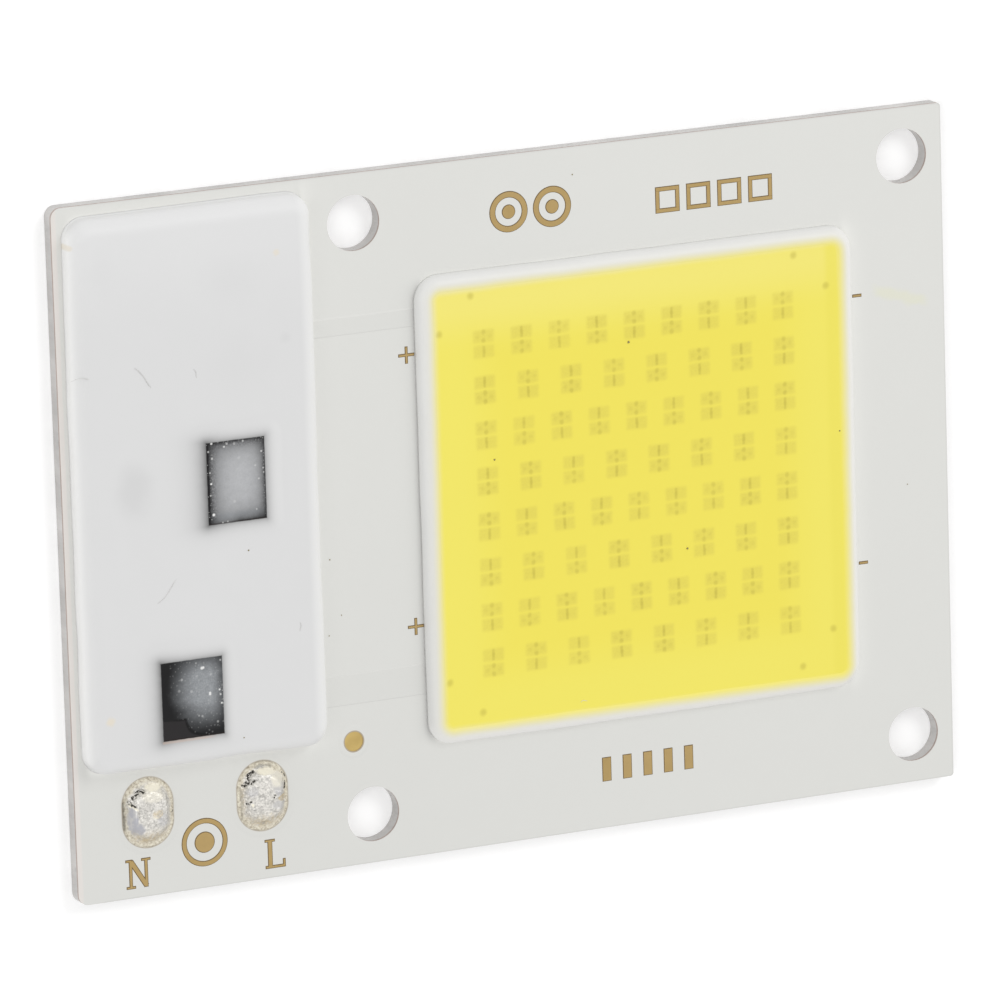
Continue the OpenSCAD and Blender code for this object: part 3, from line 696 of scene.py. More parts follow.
# Soft shadows of parts just under the slab's top: place, reach both ways, depth.
SLAB_CLOUDS = (((-4.1, 0.35), (1.6, 2.3), 0.075), ((2.3, 6.9), (3.0, 2.6), 0.016),
               ((2.2, 11.6), (2.6, 2.2), 0.02), ((-5.6, 12.9), (1.2, 2.0), 0.016),
               ((5.28, 7.98), (0.5, 0.45), 0.04))


def specks_at(x, y, places):
    """Round specks at given places, each with its radius and its strength."""
    return reduce(Value.most, [
        length(x - px, y - py).step(radius * 1.4, radius * 0.4) * strength
        for px, py, radius, strength in places])


def glints(f, size, offset, share=0.5, radius=0.4):
    """Scattered bright specks: a share of the cells holds one, of a random size."""
    distance, chance = f.cells(size, offset)
    near = (distance / (chance * 0.8 + 0.3)).step(radius, radius * 0.45)
    return near * chance.step(1 - share, 1 - share + 0.02)


class Window:
    """The flat top of a package seen through the slab.

    x and y are the place from its middle, and the edges tell how far inside each point
    lies from the left, right, upper and lower edge. Silicone laps over the right edge
    by the trim.
    """

    def __init__(self, f, box, trim=0.0):
        low, high = box
        middle, half = (low + high) / 2, (high - low) / 2 - PACKAGE_DRAFT
        self.half = half
        self.x = f.x - middle[0] + f.noise(0.3, 6.0, 3.0) * 0.012
        self.y = f.y - middle[1] + f.noise(0.3, 16.0, 3.0) * 0.012
        self.west, self.east = self.x + half[0], half[0] - trim - self.x
        self.north, self.south = half[1] - self.y, self.y + half[1]

    def shade(self, deep, reach):
        """Share of light that is lost beside the package: deep and far on its left."""
        west, above = self.west, (self.y.size() - self.half[1]).most(0.0)
        out = length((west.least(self.east) * -1.0).most(0.0), above)
        left = (west * -1.0).most(0.0) / reach + west.most(0.0) / 0.5
        left = length(left, above / 0.3).decay(1.0) * deep
        near = out.decay(0.26) * 0.5
        return near + left - near * left

    def inside(self):
        nearest = self.west.least(self.east).least(self.north.least(self.south))
        return nearest.step(-0.03, 0.03)


def upper_window(f, look, colour):
    """The driver's top: a milky film that thins out towards the bare black edges."""
    w = Window(f, IC_BOX, trim=0.18)
    uneven = f.noise(0.5, 3.0) * 0.06 + 1.0
    colour = f.shade(colour, 1.0 - w.shade(0.5, 0.6) * uneven)
    ragged = f.noise(0.24, 8.0, 4.0, roughness=0.65) * 0.05
    film = 1.0 - (w.west + ragged - 0.1).decay(0.62)
    film = film * (1.0 - (w.east + ragged).decay(0.42))
    film = film * (1.0 - (w.north + ragged).decay(0.5))
    film = film * (1.0 - (w.south + ragged + w.x.step(0.2, -0.8) * 0.25).decay(0.6))
    body = f.mix(look.epoxy_colour, look.film_colour, film)
    body = f.mix(body, look.cool_colour, w.south.hump(0.4, 0.03, 0.35) * film * 0.3)
    band = w.west.step(0.75, 0.15).most(w.north.step(0.5, 0.1))
    band = band.most(w.east.step(0.3, 0.05) * 0.7)
    fine = f.noise(0.09, 2.0, 3.0) * (band * 0.55 + 0.07) + f.noise(0.4, 5.0) * 0.06
    body = f.shade(body, fine + 1.0)
    body = f.mix(body, look.brown_colour, w.south.step(0.14, 0.03) * 0.6)
    # bubbles as painted glints, and crumbs, most of them along the left and upper edges
    specks = glints(f, 0.13, 2.0) * band * 0.25
    specks = specks.most(specks_at(w.x, w.y, UPPER_SPECKS))
    body = f.mix(body, look.speck_colour, specks)
    inside = w.inside()
    return f.mix(colour, body, inside), inside


def lower_window(f, look, colour):
    """The rectifier's top: bare to the left, filmed over to the right, with bubbles."""
    w = Window(f, BRIDGE_BOX)
    x, y = w.x, w.y
    uneven = f.noise(0.5, 5.0) * 0.06 + 1.0
    colour = f.shade(colour, 1.0 - w.shade(0.4, 0.42) * uneven)
    warm = w.south.hump(-0.08, 0.03, 0.08) * x.step(1.6, 0.6) * w.west.step(-0.1, 0.0)
    colour = f.mix(colour, look.warm_colour, warm * 0.35)
    # the film begins along a slanting front and thins towards every edge
    ragged = f.noise(0.35, 7.0, 5.0, roughness=0.6) * 0.12
    front = x + ragged - y.step(0.1, -0.8) * 0.35 - y.step(0.8, 1.7) * 0.2
    veil = front.step(-1.65, 0.4) * (x + ragged).step(2.25, 1.05)
    veil = veil * (y + ragged).step(2.85, 1.2) * (y + ragged).step(-2.15, 0.1)
    # a bare patch low on the left ends in a step above and a hollow curve to the right
    patch_top = -1.13
    curve = (y + 2.38) * (x + 0.705).most(0.0)
    top = y + f.noise(0.3, 4.0) * 0.03
    bare = curve.step(0.33, 0.25) * top.step(patch_top + 0.03, patch_top - 0.03)
    groove = curve.hump(0.3, 0.03, 0.09) * top.step(-1.05, -1.15)
    step = top.hump(patch_top, 0.02, 0.07) * x.step(-0.3, -0.5) * x.step(-1.5, -0.9)
    groove = groove.most(step)
    veil = veil * (1.0 - bare)
    body = f.mix(look.epoxy_colour, look.veil_colour, veil)
    fine = f.noise(0.1, 6.0, 2.0) * 0.2 + f.noise(0.3, 12.0, 4.0) * 0.14
    body = f.shade(body, fine * (veil * 0.7 + 0.3) + 1.0)
    body = f.mix(body, look.bare_colour, bare)
    body = f.mix(body, look.groove_colour, groove * 0.8)
    body = f.mix(body, look.brown_colour, w.south.step(0.1, 0.03))
    # bubbles as painted glints, and crumbs, more of them along the right edge
    specks = glints(f, 0.17, 5.0) * (x + y * 0.3).step(-1.6, -0.4) * 0.1
    rim = w.east.step(0.3, 0.08) * y.hump(0.0, 0.3, 0.6)
    specks = specks.most(glints(f, 0.11, 8.0) * rim * 0.6)
    specks = specks.most(specks_at(x, y, LOWER_SPECKS))
    body = f.mix(body, look.speck_colour, specks * (1.0 - bare))
    inside = w.inside()
    return f.mix(colour, body, inside), inside


def potting_finish(look):
    """White slab with painted light at its rolled rim, thin and milky over two packages.
    """
    f = Finish("potting_finish", roughness=look.potting_roughness, specular=0.15)
    x, y = f.x - SLAB_CENTRE[0], f.y - SLAB_CENTRE[1]
    colour = f.shade(look.potting_colour, f.noise(6.0, 4.0) * 0.006 + 1.0)
    colour = f.shade(colour, f.noise(1.2, 14.0, 3.0) * 0.004 + 1.0)
    # painted light: the slab is lighter along its far side and its right edge, and low
    # on its far wall
    painted_light = y.step(8.0, 16.0) * 0.045 + x.step(6.2, 7.0) * 0.03
    painted_light = painted_light + (f.z - MASK_TOP).decay(0.2) * y.step(8.0, 16.0) * 0.1
    colour = f.shade(colour, painted_light + 1.0)
    # painted light on the rolled rim, most where it faces left and right: thin silicone
    # there lets the white board shine through
    across, along = f.normal()[:2]
    west = (across * -1.0).most(0.0)
    rim = (west * west * west * west).most(across * 1.1).most(along * 0.2)
    rim = rim.most(along * -0.6)
    colour = f.mix(colour, look.glow_colour, rim.least(1.0))
    for place, spread, depth in SLAB_CLOUDS:
        cloud = length((x - place[0]) / spread[0], (y - place[1]) / spread[1])
        cloud = (cloud + f.noise(1.2, place[0]) * 0.12).step(1.0, 0.1)
        colour = f.shade(colour, 1.0 - cloud * depth)
    stains = specks_at(x + f.noise(0.3, 3.0) * 0.06, y + f.noise(0.3, 7.0) * 0.06,
                       SLAB_STAINS)
    colour = f.mix(colour, look.stain_colour, stains * 0.6)
    colour, upper = upper_window(f, look, colour)
    colour, lower = lower_window(f, look, colour)
    f.set("Base Color", colour)
    tops = upper.most(lower)
    f.set("Roughness", f.noise(1.6, 3.0) * 0.03 + tops * 0.1 + look.potting_roughness)
    f.bump(f.noise(1.5, 5.0, 2.0) * 0.003 - tops * 0.01)
    return f.material


def solder_finish(look):
    """Frosted solder: blotched grain, smooth facets with a painted cool reflection,
    painted highlights, painted shade in creases and yellow flux.

    The places of facets, creases and tints come with the mesh, as values at its points.
    """
    f = Finish("solder_finish", roughness=0.4, metallic=0.5)
    rim, crease, smooth, bright, amber, cool, shadow = (
        f.attribute(name) for name in
        ("rim", "crease", "smooth", "bright", "amber", "cool", "shadow"))
    coarse = 1.0 - smooth * 0.85
    blotch, grain = f.noise(0.36, 5.0, 3.0), f.noise(0.12, 8.0, 3.0)
    near, chance = f.cells(0.11, 3.0)
    tone = (blotch * 0.26 + grain * 0.42 + (chance - 0.5) * 0.26) * coarse
    colour = f.shade(look.solder_colour, tone + 1.0)
    # painted reflection: a cool grey on the smooth facets
    facets = (cool * (blotch * 1.1 + 0.95)).least(1.0)
    # painted highlights on the smooth lobes, and painted glints
    highlights = (bright * (grain * 0.3 + 1.0)).least(1.0)
    colour = f.mix(colour, look.facet_reflection_colour, facets)
    colour = f.mix(colour, look.highlight_colour, highlights)
    golden = amber * (f.noise(0.2, 18.0, 3.0) + 0.8)
    colour = f.mix(colour, look.amber_colour, golden.most(0.0).least(1.0) * 0.85)
    # the flux is a band of crumbs, cream and brown, that ends in a broken brown line
    crumb = f.noise(0.14, 2.0, 3.0)
    flux = f.mix(look.flux_colour, look.cream_colour, crumb.step(-0.05, 0.4))
    flux = f.mix(flux, look.rust_colour, crumb.step(-0.1, -0.6) * 0.6)
    at_rim = (rim + f.noise(0.28, 9.0, 3.0) * 0.09).step(0.78, 0.92)
    colour = f.mix(colour, flux, at_rim)
    # painted shadow along parts of the rim
    colour = f.mix(colour, look.crease_shade_colour, shadow * 0.6)
    end = (rim + f.noise(0.2, 4.0, 3.0) * 0.015).step(0.95, 0.985)
    broken = f.noise(0.5, 12.0).step(-0.2, 0.35)
    colour = f.mix(colour, look.rust_colour, end * broken * 0.4)
    # painted shade in the creases between the lumps
    ragged = crease * (f.noise(0.13, 21.0, 2.0) * 2.4 + 0.62)
    colour = f.mix(colour, look.crease_shade_colour, ragged.step(0.2, 0.75))
    f.set("Base Color", colour)
    f.set("Metallic", (1.0 - at_rim * 0.9) * (0.5 - bright * 0.35))
    f.set("Roughness", 0.42 - smooth * 0.1 - bright * 0.12)
    f.bump((near * 0.025 + grain * 0.012 + blotch * 0.02) * coarse)
    return f.material


def plain_finish(name, colour, roughness, metallic, grain, size):
    """A matt or metal surface whose tone and gloss waver by grain at the given size."""
    f = Finish(name, roughness=roughness, metallic=metallic)
    cloud = f.noise(size, 3.0, 4.0)
    f.set("Base Color", f.shade(colour, cloud * grain + 1.0))
    f.set("Roughness", cloud * 0.05 + roughness)
    f.bump(f.noise(size / 4, 9.0, 2.0) * size * 0.01)
    return f.material


# -------------------------------------------------------------- properties


def a_tone(name, description, colour):
    return FloatVectorProperty(name=name, description=description, default=colour,
                               subtype="COLOR", size=3, min=0.0, max=1.0)


def a_colour(name, description, *display):
    return a_tone(name, description, srgb(*display))


def a_length(name, description, value, high, low=0.0, precision=5):
    """A length that is given in millimetres."""
    return FloatProperty(name=name, description=description, default=value * MM,
                         min=low * MM, max=high * MM, unit="LENGTH",
                         precision=precision)


def a_share(name, description, value, high=1.0, low=0.0):
    return FloatProperty(name=name, description=description, default=value,
                         min=low, max=high, subtype="FACTOR")


def a_point(name, description, *value):
    """A point that is given in millimetres."""
    return FloatVectorProperty(name=name, description=description, size=3,
                               subtype="XYZ", unit="LENGTH",
                               default=[v * MM for v in value])


class LEDM_PG_board(PropertyGroup):
    mask_colour: a_colour("Mask", "White of the solder mask", 221, 221, 217)
    mask_roughness: a_share("Mask roughness", "How matt the mask is", 0.42, low=0.1)
    stain_colour: a_colour("Stain", "Faint stain on the mask", 226, 226, 196)
    shadow_colour: a_colour("Dam line", "Grey line at the dam's foot", 176, 176, 174)
    edge_colour: a_colour("Mask edge", "Cut edge of the mask", 196, 186, 180)
    cream_colour: a_colour("Thin mask", "Thin mask along the driver end", 228, 222, 217)
    rim_colour: a_colour("Pad rim", "Rim of the mask round a pad", 150, 126, 84)
    metal_colour: a_colour("Aluminium", "Core of the board", 204, 202, 200)
    tear_colour: a_colour("Torn metal", "Streaks of the punched edge", 136, 131, 128)
    laminate_colour: a_colour("Laminate", "Resin under the copper", 172, 152, 142)
    gold_colour: a_colour("Gold", "Gold plate on open copper", 204, 178, 114)
    tarnish_colour: a_colour("Tarnish", "Dull places in the gold", 164, 138, 82)


class LEDM_PG_field(PropertyGroup):
    dam_colour: a_colour("Dam", "White of the silicone bead", 225, 225, 223)
    glow_colour: a_colour("Thin edge", "Outer flank of the bead", 250, 249, 247)
    phosphor_colour: a_colour("Phosphor", "Yellow near the dam", 242, 230, 98)
    deep_colour: a_colour("Deep phosphor", "Yellow over the chips", 241, 227, 89)
    light_colour: a_colour("Light phosphor", "Yellow along the far side", 244, 232, 120)
    green_colour: a_colour("Edge tint", "Duller yellow beside the dam", 238, 226, 92)
    pale_colour: a_colour("Pale edge", "Silicone where yellow thins out", 236, 231, 205)
    chip_colour: a_colour("Chip", "A chip seen through the phosphor", 214, 199, 84)
    contact_colour: a_colour("Contact", "A contact seen through it", 180, 165, 58)
    chip_show: a_share("Chip contrast", "How clearly the chips show through", 1.0, 2.0)
    fade_width: a_length("Fade", "Width of the fading edge of yellow", 0.86, 1.5, 0.1)
    depth_shift: FloatVectorProperty(
        name="Chip shift", description="Sideways shift of the chips in the surface",
        default=(0.28 * MM, -0.16 * MM), size=2, unit="LENGTH", precision=5)
    bead_wave: a_length("Bead waver", "How much the width of the dam wavers", 0.03, 0.2)


class LEDM_PG_driver(PropertyGroup):
    potting_colour: a_colour("Potting", "White of the slab", 221, 221, 221)
    potting_roughness: a_share("Slab roughness", "How matt the slab is", 0.4, low=0.1)
    glow_colour: a_colour("Rim", "Lighter silicone at the rolled rim", 246, 246, 245)
    stain_colour: a_colour("Stain", "Small tan stains on the slab", 232, 220, 196)
    warm_colour: a_colour("Warm edge", "Tint below the lower package", 214, 184, 164)
    epoxy_colour: a_colour("Epoxy", "Black body of a package", 26, 26, 27)
    brown_colour: a_colour("Brown epoxy", "Bare body along its lower edge", 32, 24, 20)
    bare_colour: a_colour("Bare patch", "Clean epoxy low on the left", 42, 40, 41)
    groove_colour: a_colour("Film edge", "Dark line where the film ends", 14, 14, 14)
    film_colour: a_colour("Film", "Milky film over the upper package", 190, 191, 193)
    cool_colour: a_colour("Cool film", "Bluish film at the lower edge", 118, 128, 136)
    veil_colour: a_colour("Veil", "Thinner film over the lower package", 148, 151, 154)
    speck_colour: a_colour("Specks", "Bubbles and crumbs in the film", 238, 238, 236)
    edge_wave: a_length("Edge waver", "How much the foot of the slab wavers", 0.05, 0.3)
    top_wave: a_length("Top waver", "Height of the soft waves in its top", 0.02, 0.1)


class LEDM_PG_solder(PropertyGroup):
    solder_colour: a_colour("Solder", "Frosted solder", 213, 210, 204)
    highlight_colour: a_colour("Bright solder", "Smooth lobes and glints", 250, 244, 226)
    facet_reflection_colour: a_colour("Facets", "Smooth cool facets", 180, 180, 185)
    crease_shade_colour: a_colour("Creases", "Dark creases between the lumps", 58, 55, 49)
    amber_colour: a_colour("Amber", "Solder under a skin of flux", 206, 188, 152)
    flux_colour: a_colour("Flux", "Yellow flux at the rim", 211, 203, 184)
    cream_colour: a_colour("Pale flux", "Pale crumbs of flux", 232, 226, 208)
    rust_colour: a_colour("Burnt flux", "Brown crumbs, end of the flux", 134, 120, 98)
    lump: a_length("Lumps", "Height of the lumps in the solder", 0.06, 0.2)


class LEDM_PG_marks(PropertyGroup):
    mark_colour: a_colour("Mark", "Thin gold of the printed marks", 180, 154, 104)
    recess_shade_colour: a_colour("Outline", "Dark edge of the mask's openings", 112, 92, 58)
    plate: a_length("Mark height", "Height of the gold on the mask", 0.006, 0.03,
                    0.002, precision=6)
    edge: a_length("Outline width", "Width of a mark's dark edge", 0.04, 0.1,
                   precision=6)


class LEDM_PG_dust(PropertyGroup):
    fibre_colour: a_colour("Fibres", "Hairs in and on the slab", 212, 211, 208)
    grain_colour: a_colour("Grains", "Dark grains of dust", 138, 126, 84)
    fibre_width: a_length("Fibre width", "Thickness of a hair", 0.03, 0.1, 0.01)


class LEDM_PG_stage(PropertyGroup):
    floor_colour: a_tone("Floor", "Pale floor under the board", (0.86, 0.86, 0.86))
    floor_glow: FloatProperty(name="Floor glow", description="Own light of the floor",
                              default=0.24, min=0.0, max=2.0)
    sky: FloatProperty(name="Sky light", description="Strength of the light all round",
                       default=0.76, min=0.0, max=2.0)
    key: FloatProperty(name="Key light", description="Power of the large soft lamp",
                       default=1.6, min=0.0, max=100.0, unit="POWER")
    fill: FloatProperty(name="Fill light", description="Power of the lamp on the left",
                        default=0.8, min=0.0, max=100.0, unit="POWER")
    lens: FloatProperty(name="Lens", description="Focal length of the camera",
                        default=357.85, min=20.0, max=800.0, unit="CAMERA")
    viewpoint: a_point("Viewpoint", "Place of the camera", -223.73, 131.70, 502.68)
    aim: a_point("Aim", "Point that the camera looks at", -0.858, 0.090, 1.0)
    roll: FloatProperty(name="Roll", description="Turn of the camera about its line",
                        default=math.radians(-1.783), unit="ROTATION")


class LEDM_PG_module(PropertyGroup):
    board: PointerProperty(type=LEDM_PG_board)
    field: PointerProperty(type=LEDM_PG_field)
    driver: PointerProperty(type=LEDM_PG_driver)
    solder: PointerProperty(type=LEDM_PG_solder)
    marks: PointerProperty(type=LEDM_PG_marks)
    dust: PointerProperty(type=LEDM_PG_dust)
    stage: PointerProperty(type=LEDM_PG_stage)


# --------------------------------------------------------------- operators


class LEDM_OT_board(Operator):
    """Finish the board's layers: aluminium, laminate, gold plated copper and mask"""

    bl_idname = "ledm.board"
    bl_label = "Board"

    def execute(self, context):
        look = context.scene.led_module.board
        dress(metal_finish(look), "base_plate")
        dress(laminate_finish(look), "dielectric_layer")
        dress(gold_finish("copper_gold", look.gold_colour, look, 0.45),
              "copper_circuit")
        dress(mask_finish(look), "solder_mask")
        return {"FINISHED"}


class LEDM_OT_chips(Operator):
    """Finish the parts that silicone closes in: chips, wires, packages, their solder"""

    bl_idname = "ledm.chips"
    bl_label = "Enclosed parts"

    def execute(self, context):
        look = context.scene.led_module
        epoxy, solder = look.driver.epoxy_colour, look.solder.solder_colour
        # name, colour, roughness, metallic, grain and its size, then the solids
        for *finish, solids in (
                ("chip_crystal", srgb(132, 140, 120), 0.18, 0.0, 0.12, 0.3,
                 ["led_dies"]),
                ("wire_gold", srgb(232, 200, 120), 0.22, 1.0, 0.04, 0.2,
                 ["bond_wires"]),
                ("package_epoxy", epoxy, 0.62, 0.0, 0.2, 0.3,
                 ["bridge_rectifier", "driver_ic", "clamp_diode"]),
                ("tin_plate", srgb(196, 196, 198), 0.4, 1.0, 0.08, 0.25,
                 ["rectifier_leads", "driver_ic_leads", "clamp_diode_tabs",
                  "resistor_end_caps", "fuse_end_caps"]),
                ("resistor_glaze", srgb(38, 40, 44), 0.25, 0.0, 0.15, 0.4,
                 ["current_resistors"]),
                ("fuse_body", srgb(222, 214, 188), 0.65, 0.0, 0.06, 0.3,
                 ["input_fuse"]),
                ("joint_solder", solder, 0.35, 1.0, 0.1, 0.2, ["component_solder"])):
            dress(plain_finish(*finish), *solids)
        return {"FINISHED"}


class LEDM_OT_dam(Operator):
    """Lay the silicone bead round the LED field"""

    bl_idname = "ledm.dam"
    bl_label = "Dam"

    def execute(self, context):
        look = context.scene.led_module.field
        path = outline((CREST_HALF, CREST_HALF), CREST_RADIUS, 10, 0.36)
        # half an ellipse over a flat foot
        arch = 17
        turn = np.linspace(0, math.pi, arch)
        half = BEAD_WIDTH / 2
        insets = np.concatenate([-half * np.cos(turn), [half * 0.4, -half * 0.4]])
        heights = np.concatenate([BEAD_HEIGHT * np.sin(turn), [0, 0]])
        rings = carried_rings(path, CREST_RADIUS, insets, heights)
        # the bead swells and thins a little along its way, and its crest sinks
        x, y = path[0].T
        swell = smooth_noise(x + 40, y + 40, 3.2, 5) * look.bead_wave / MM
        side = np.sign(-insets) * (np.abs(insets) > 0.1)
        rings[..., :2] += side[:, None, None] * (swell[None, :, None] * path[1])
        sink = 0.012
        crest = np.sin(turn) > 0.6
        rings[:arch][crest, :, 2] += smooth_noise(x + 10, y + 60, 2.6, 8) * sink - sink
        rings += [FIELD_X, 0, MASK_TOP]
        new_piece(ring_mesh("dam_bead", rings, closed=True), dam_finish(look),
                  ["led_dam"])
        return {"FINISHED"}


class LEDM_OT_phosphor(Operator):
    """Pour the phosphor silicone into the dam"""

    bl_idname = "ledm.phosphor"
    bl_label = "Phosphor"

    def execute(self, context):
        look = context.scene.led_module.field
        level = FIELD_HIGH[2] - MASK_TOP
        path = outline((CREST_HALF, CREST_HALF), CREST_RADIUS, 8, 0.42)
        profile = ((0.72, 0), (0.72, 0.05), (0.1, level - 0.06), (0.0, level - 0.01),
                   (0.2, level + 0.012), (0.45, level + 0.004), (0.7, level))
        wall = carried_rings(path, CREST_RADIUS, *zip(*profile))
        floor = shrunk_rings(wall[0], np.linspace(0.05, 0.95, 12))
        top = shrunk_rings(wall[-1], np.linspace(0.985, 0.015, 60))
        rings = np.concatenate([floor, wall, top])
        # the surface sags a little towards its middle and ripples faintly
        sag, ripple = 0.03, 0.006
        x, y = rings[..., 0], rings[..., 1]
        reach = np.maximum(np.abs(x), np.abs(y)) / CREST_HALF
        drop = -sag * (1 - reach ** 2) + ripple * smooth_noise(
            x + 50, y + 50, 2.4, 3) * (1 - reach ** 4)
        rings[..., 2] += np.where(rings[..., 2] > level - 0.005, drop, 0.0)
        rings += [FIELD_X, 0, MASK_TOP]
        new_piece(ring_mesh("phosphor_pour", rings), phosphor_finish(look),
                  ["phosphor_fill"])
        return {"FINISHED"}


class LEDM_OT_potting(Operator):
    """Cast the white slab over the driver, thin over the two packages"""

    bl_idname = "ledm.potting"
    bl_label = "Potting"

    def execute(self, context):
        look = context.scene.led_module.driver
        path = outline(SLAB_HALF, SLAB_RADIUS, 12, 0.24)
        # a foot that spreads a little, an upright wall, and a quarter round
        turn = np.linspace(0, math.pi / 2, 13)
        rise = SLAB_HEIGHT - SLAB_ROLL
        insets = np.concatenate([[-0.08, -0.025, 0, 0], SLAB_ROLL * (1 - np.cos(turn))])
        heights = np.concatenate([[0, 0.06, 0.16, rise * 0.6],
                                  rise + SLAB_ROLL * np.sin(turn)])
        wall = carried_rings(path, SLAB_RADIUS, insets, heights)
        floor = shrunk_rings(wall[0], np.linspace(0.05, 0.95, 8))
        top = shrunk_rings(wall[-1], np.linspace(0.99, 0.01, 130))
        rings = np.concatenate([floor, wall, top])
        x, y = rings[..., 0], rings[..., 1]
        # foot and rim waver, the top has long soft waves
        past_wall = np.maximum(np.abs(x) - SLAB_HALF[0], np.abs(y) - SLAB_HALF[1])
        shift = np.stack([smooth_noise(x + 20, y + 30, 2.7, 11),
                          smooth_noise(x + 60, y + 10, 2.7, 12)], axis=-1)
        near = ease(past_wall, -2.0, 0)[..., None]
        rings[..., :2] += shift * near * look.edge_wave / MM
        crown = ease(rings[..., 2], rise * 0.9, SLAB_HEIGHT)
        wave = (smooth_noise(x + 70, y + 25, 3.1, 21)
                + 0.5 * smooth_noise(x, y + 80, 1.4, 22))
        rings[..., 2] += crown * wave * look.top_wave / MM
        # the film lies close over each package, which stands just proud of the slab
        for low, high in (IC_BOX, BRIDGE_BOX):
            middle, half = (low + high) / 2 - SLAB_CENTRE, (high - low) / 2
            past = np.hypot(np.maximum(np.abs(x - middle[0]) - half[0], 0),
                            np.maximum(np.abs(y - middle[1]) - half[1], 0))
            cover = high[2] - MASK_TOP + FILM_COVER
            blend = ease(past, 0.9, 0.0) * (rings[..., 2] > rise)
            rings[..., 2] += blend * (np.maximum(cover, rings[..., 2]) - rings[..., 2])
        rings += [SLAB_CENTRE[0], SLAB_CENTRE[1], MASK_TOP]
        new_piece(ring_mesh("potting_slab", rings), potting_finish(look),
                  ["driver_potting"])
        return {"FINISHED"}


# Features of each lump, in millimetres from the middle of its pad. A row of six numbers
# is a straight line (strength, x and y of its ends, width), and a row of five is an
# upright oval (strength, x and y of its middle, half width, half height).
LUMP_FEATURES = {
    "n": {
        "crease": (
            (0.9, -0.98, 1.0, -0.78, 1.2, 0.11), (1, -0.72, 1.24, -0.36, 1.4, 0.1),
            (0.8, -0.42, 1.36, -0.36, 1.2, 0.09), (1, -1.18, 0.74, -0.94, 0.55, 0.12),
            (0.5, 1.42, -0.08, 0.1, 0.12)),
        "notch": (),
        "smooth": ((1, -1.07, -0.2, 0.27, 0.72), (1, -0.83, -0.82, 0.43, 0.38),
                   (0.7, 0.3, 1.45, 0.6, 0.25)),
        "cool": ((0.9, -1.07, -0.2, 0.27, 0.72), (0.9, -0.83, -0.82, 0.43, 0.38),
                 (0.35, 0.75, -0.4, 0.4, 0.4)),
        "bright": (
            (1, 0.28, 1.5, 0.6, 0.2), (0.45, 0.15, 1.1, 0.7, 0.45),
            (1, -1.12, 0.62, 0.08, 0.08), (0.6, 0.2, -0.2, 0.12, 0.1),
            (1, -1.0, 0.55, -0.82, 0.36, 0.09)),
        "amber": ((0.6, 0.38, -0.02, 0.34, 0.26),),
        "shadow": ((0.75, -1.5, -0.8, -1.5, 0.7, 0.12),)},
    "l": {
        "crease": (
            (1, -1.22, 0.74, -0.95, 1.02, 0.1), (1, -0.95, 1.18, -0.82, 1.34, 0.13),
            (1, -0.8, 1.32, -0.6, 1.48, 0.14), (0.7, -0.8, 0.93, -0.6, 1.08, 0.1),
            (0.6, 1.22, 1.26, 1.4, 0.92, 0.07), (0.7, 1.4, 0.92, 1.36, 0.42, 0.07),
            (0.7, 1.36, 0.42, 1.25, 0.06, 0.07), (1, -1.02, -0.28, 0.12, 0.07),
            (0.9, -0.94, -0.14, 0.07, 0.08), (0.5, 0.5, 0.02, 0.09, 0.09),
            (0.6, 0.0, 1.92, 0.12, 0.1)),
        "notch": ((1, 1.15, -0.13, 0.42, 0.17),),
        "smooth": ((1, 0.75, 0.85, 0.5, 0.55), (0.8, 0.25, 1.52, 0.75, 0.22),
                   (0.7, 0.85, -0.5, 0.45, 0.22)),
        "cool": ((0.35, 0.8, 0.5, 0.35, 0.5), (0.4, 0.85, -0.5, 0.5, 0.25),
                 (0.3, -0.8, 0.4, 0.35, 0.3)),
        "bright": (
            (1, 0.28, 1.5, 0.78, 0.2), (0.6, 0.75, 1.0, 0.45, 0.5),
            (1, -0.82, -0.35, 0.08, 0.07), (0.7, 0.25, -0.98, 0.1, 0.07),
            (0.7, -0.1, -1.3, 0.1, 0.07), (0.6, -0.42, -1.15, 0.08, 0.06)),
        "amber": ((1, 1.15, -0.15, 0.44, 0.17), (1, 1.46, 0.1, 0.13, 0.5)),
        "shadow": ((0.5, -1.32, -1.2, -1.33, 0.6, 0.1),
                   (0.6, -0.4, 1.74, 0.5, 1.72, 0.14))},
}


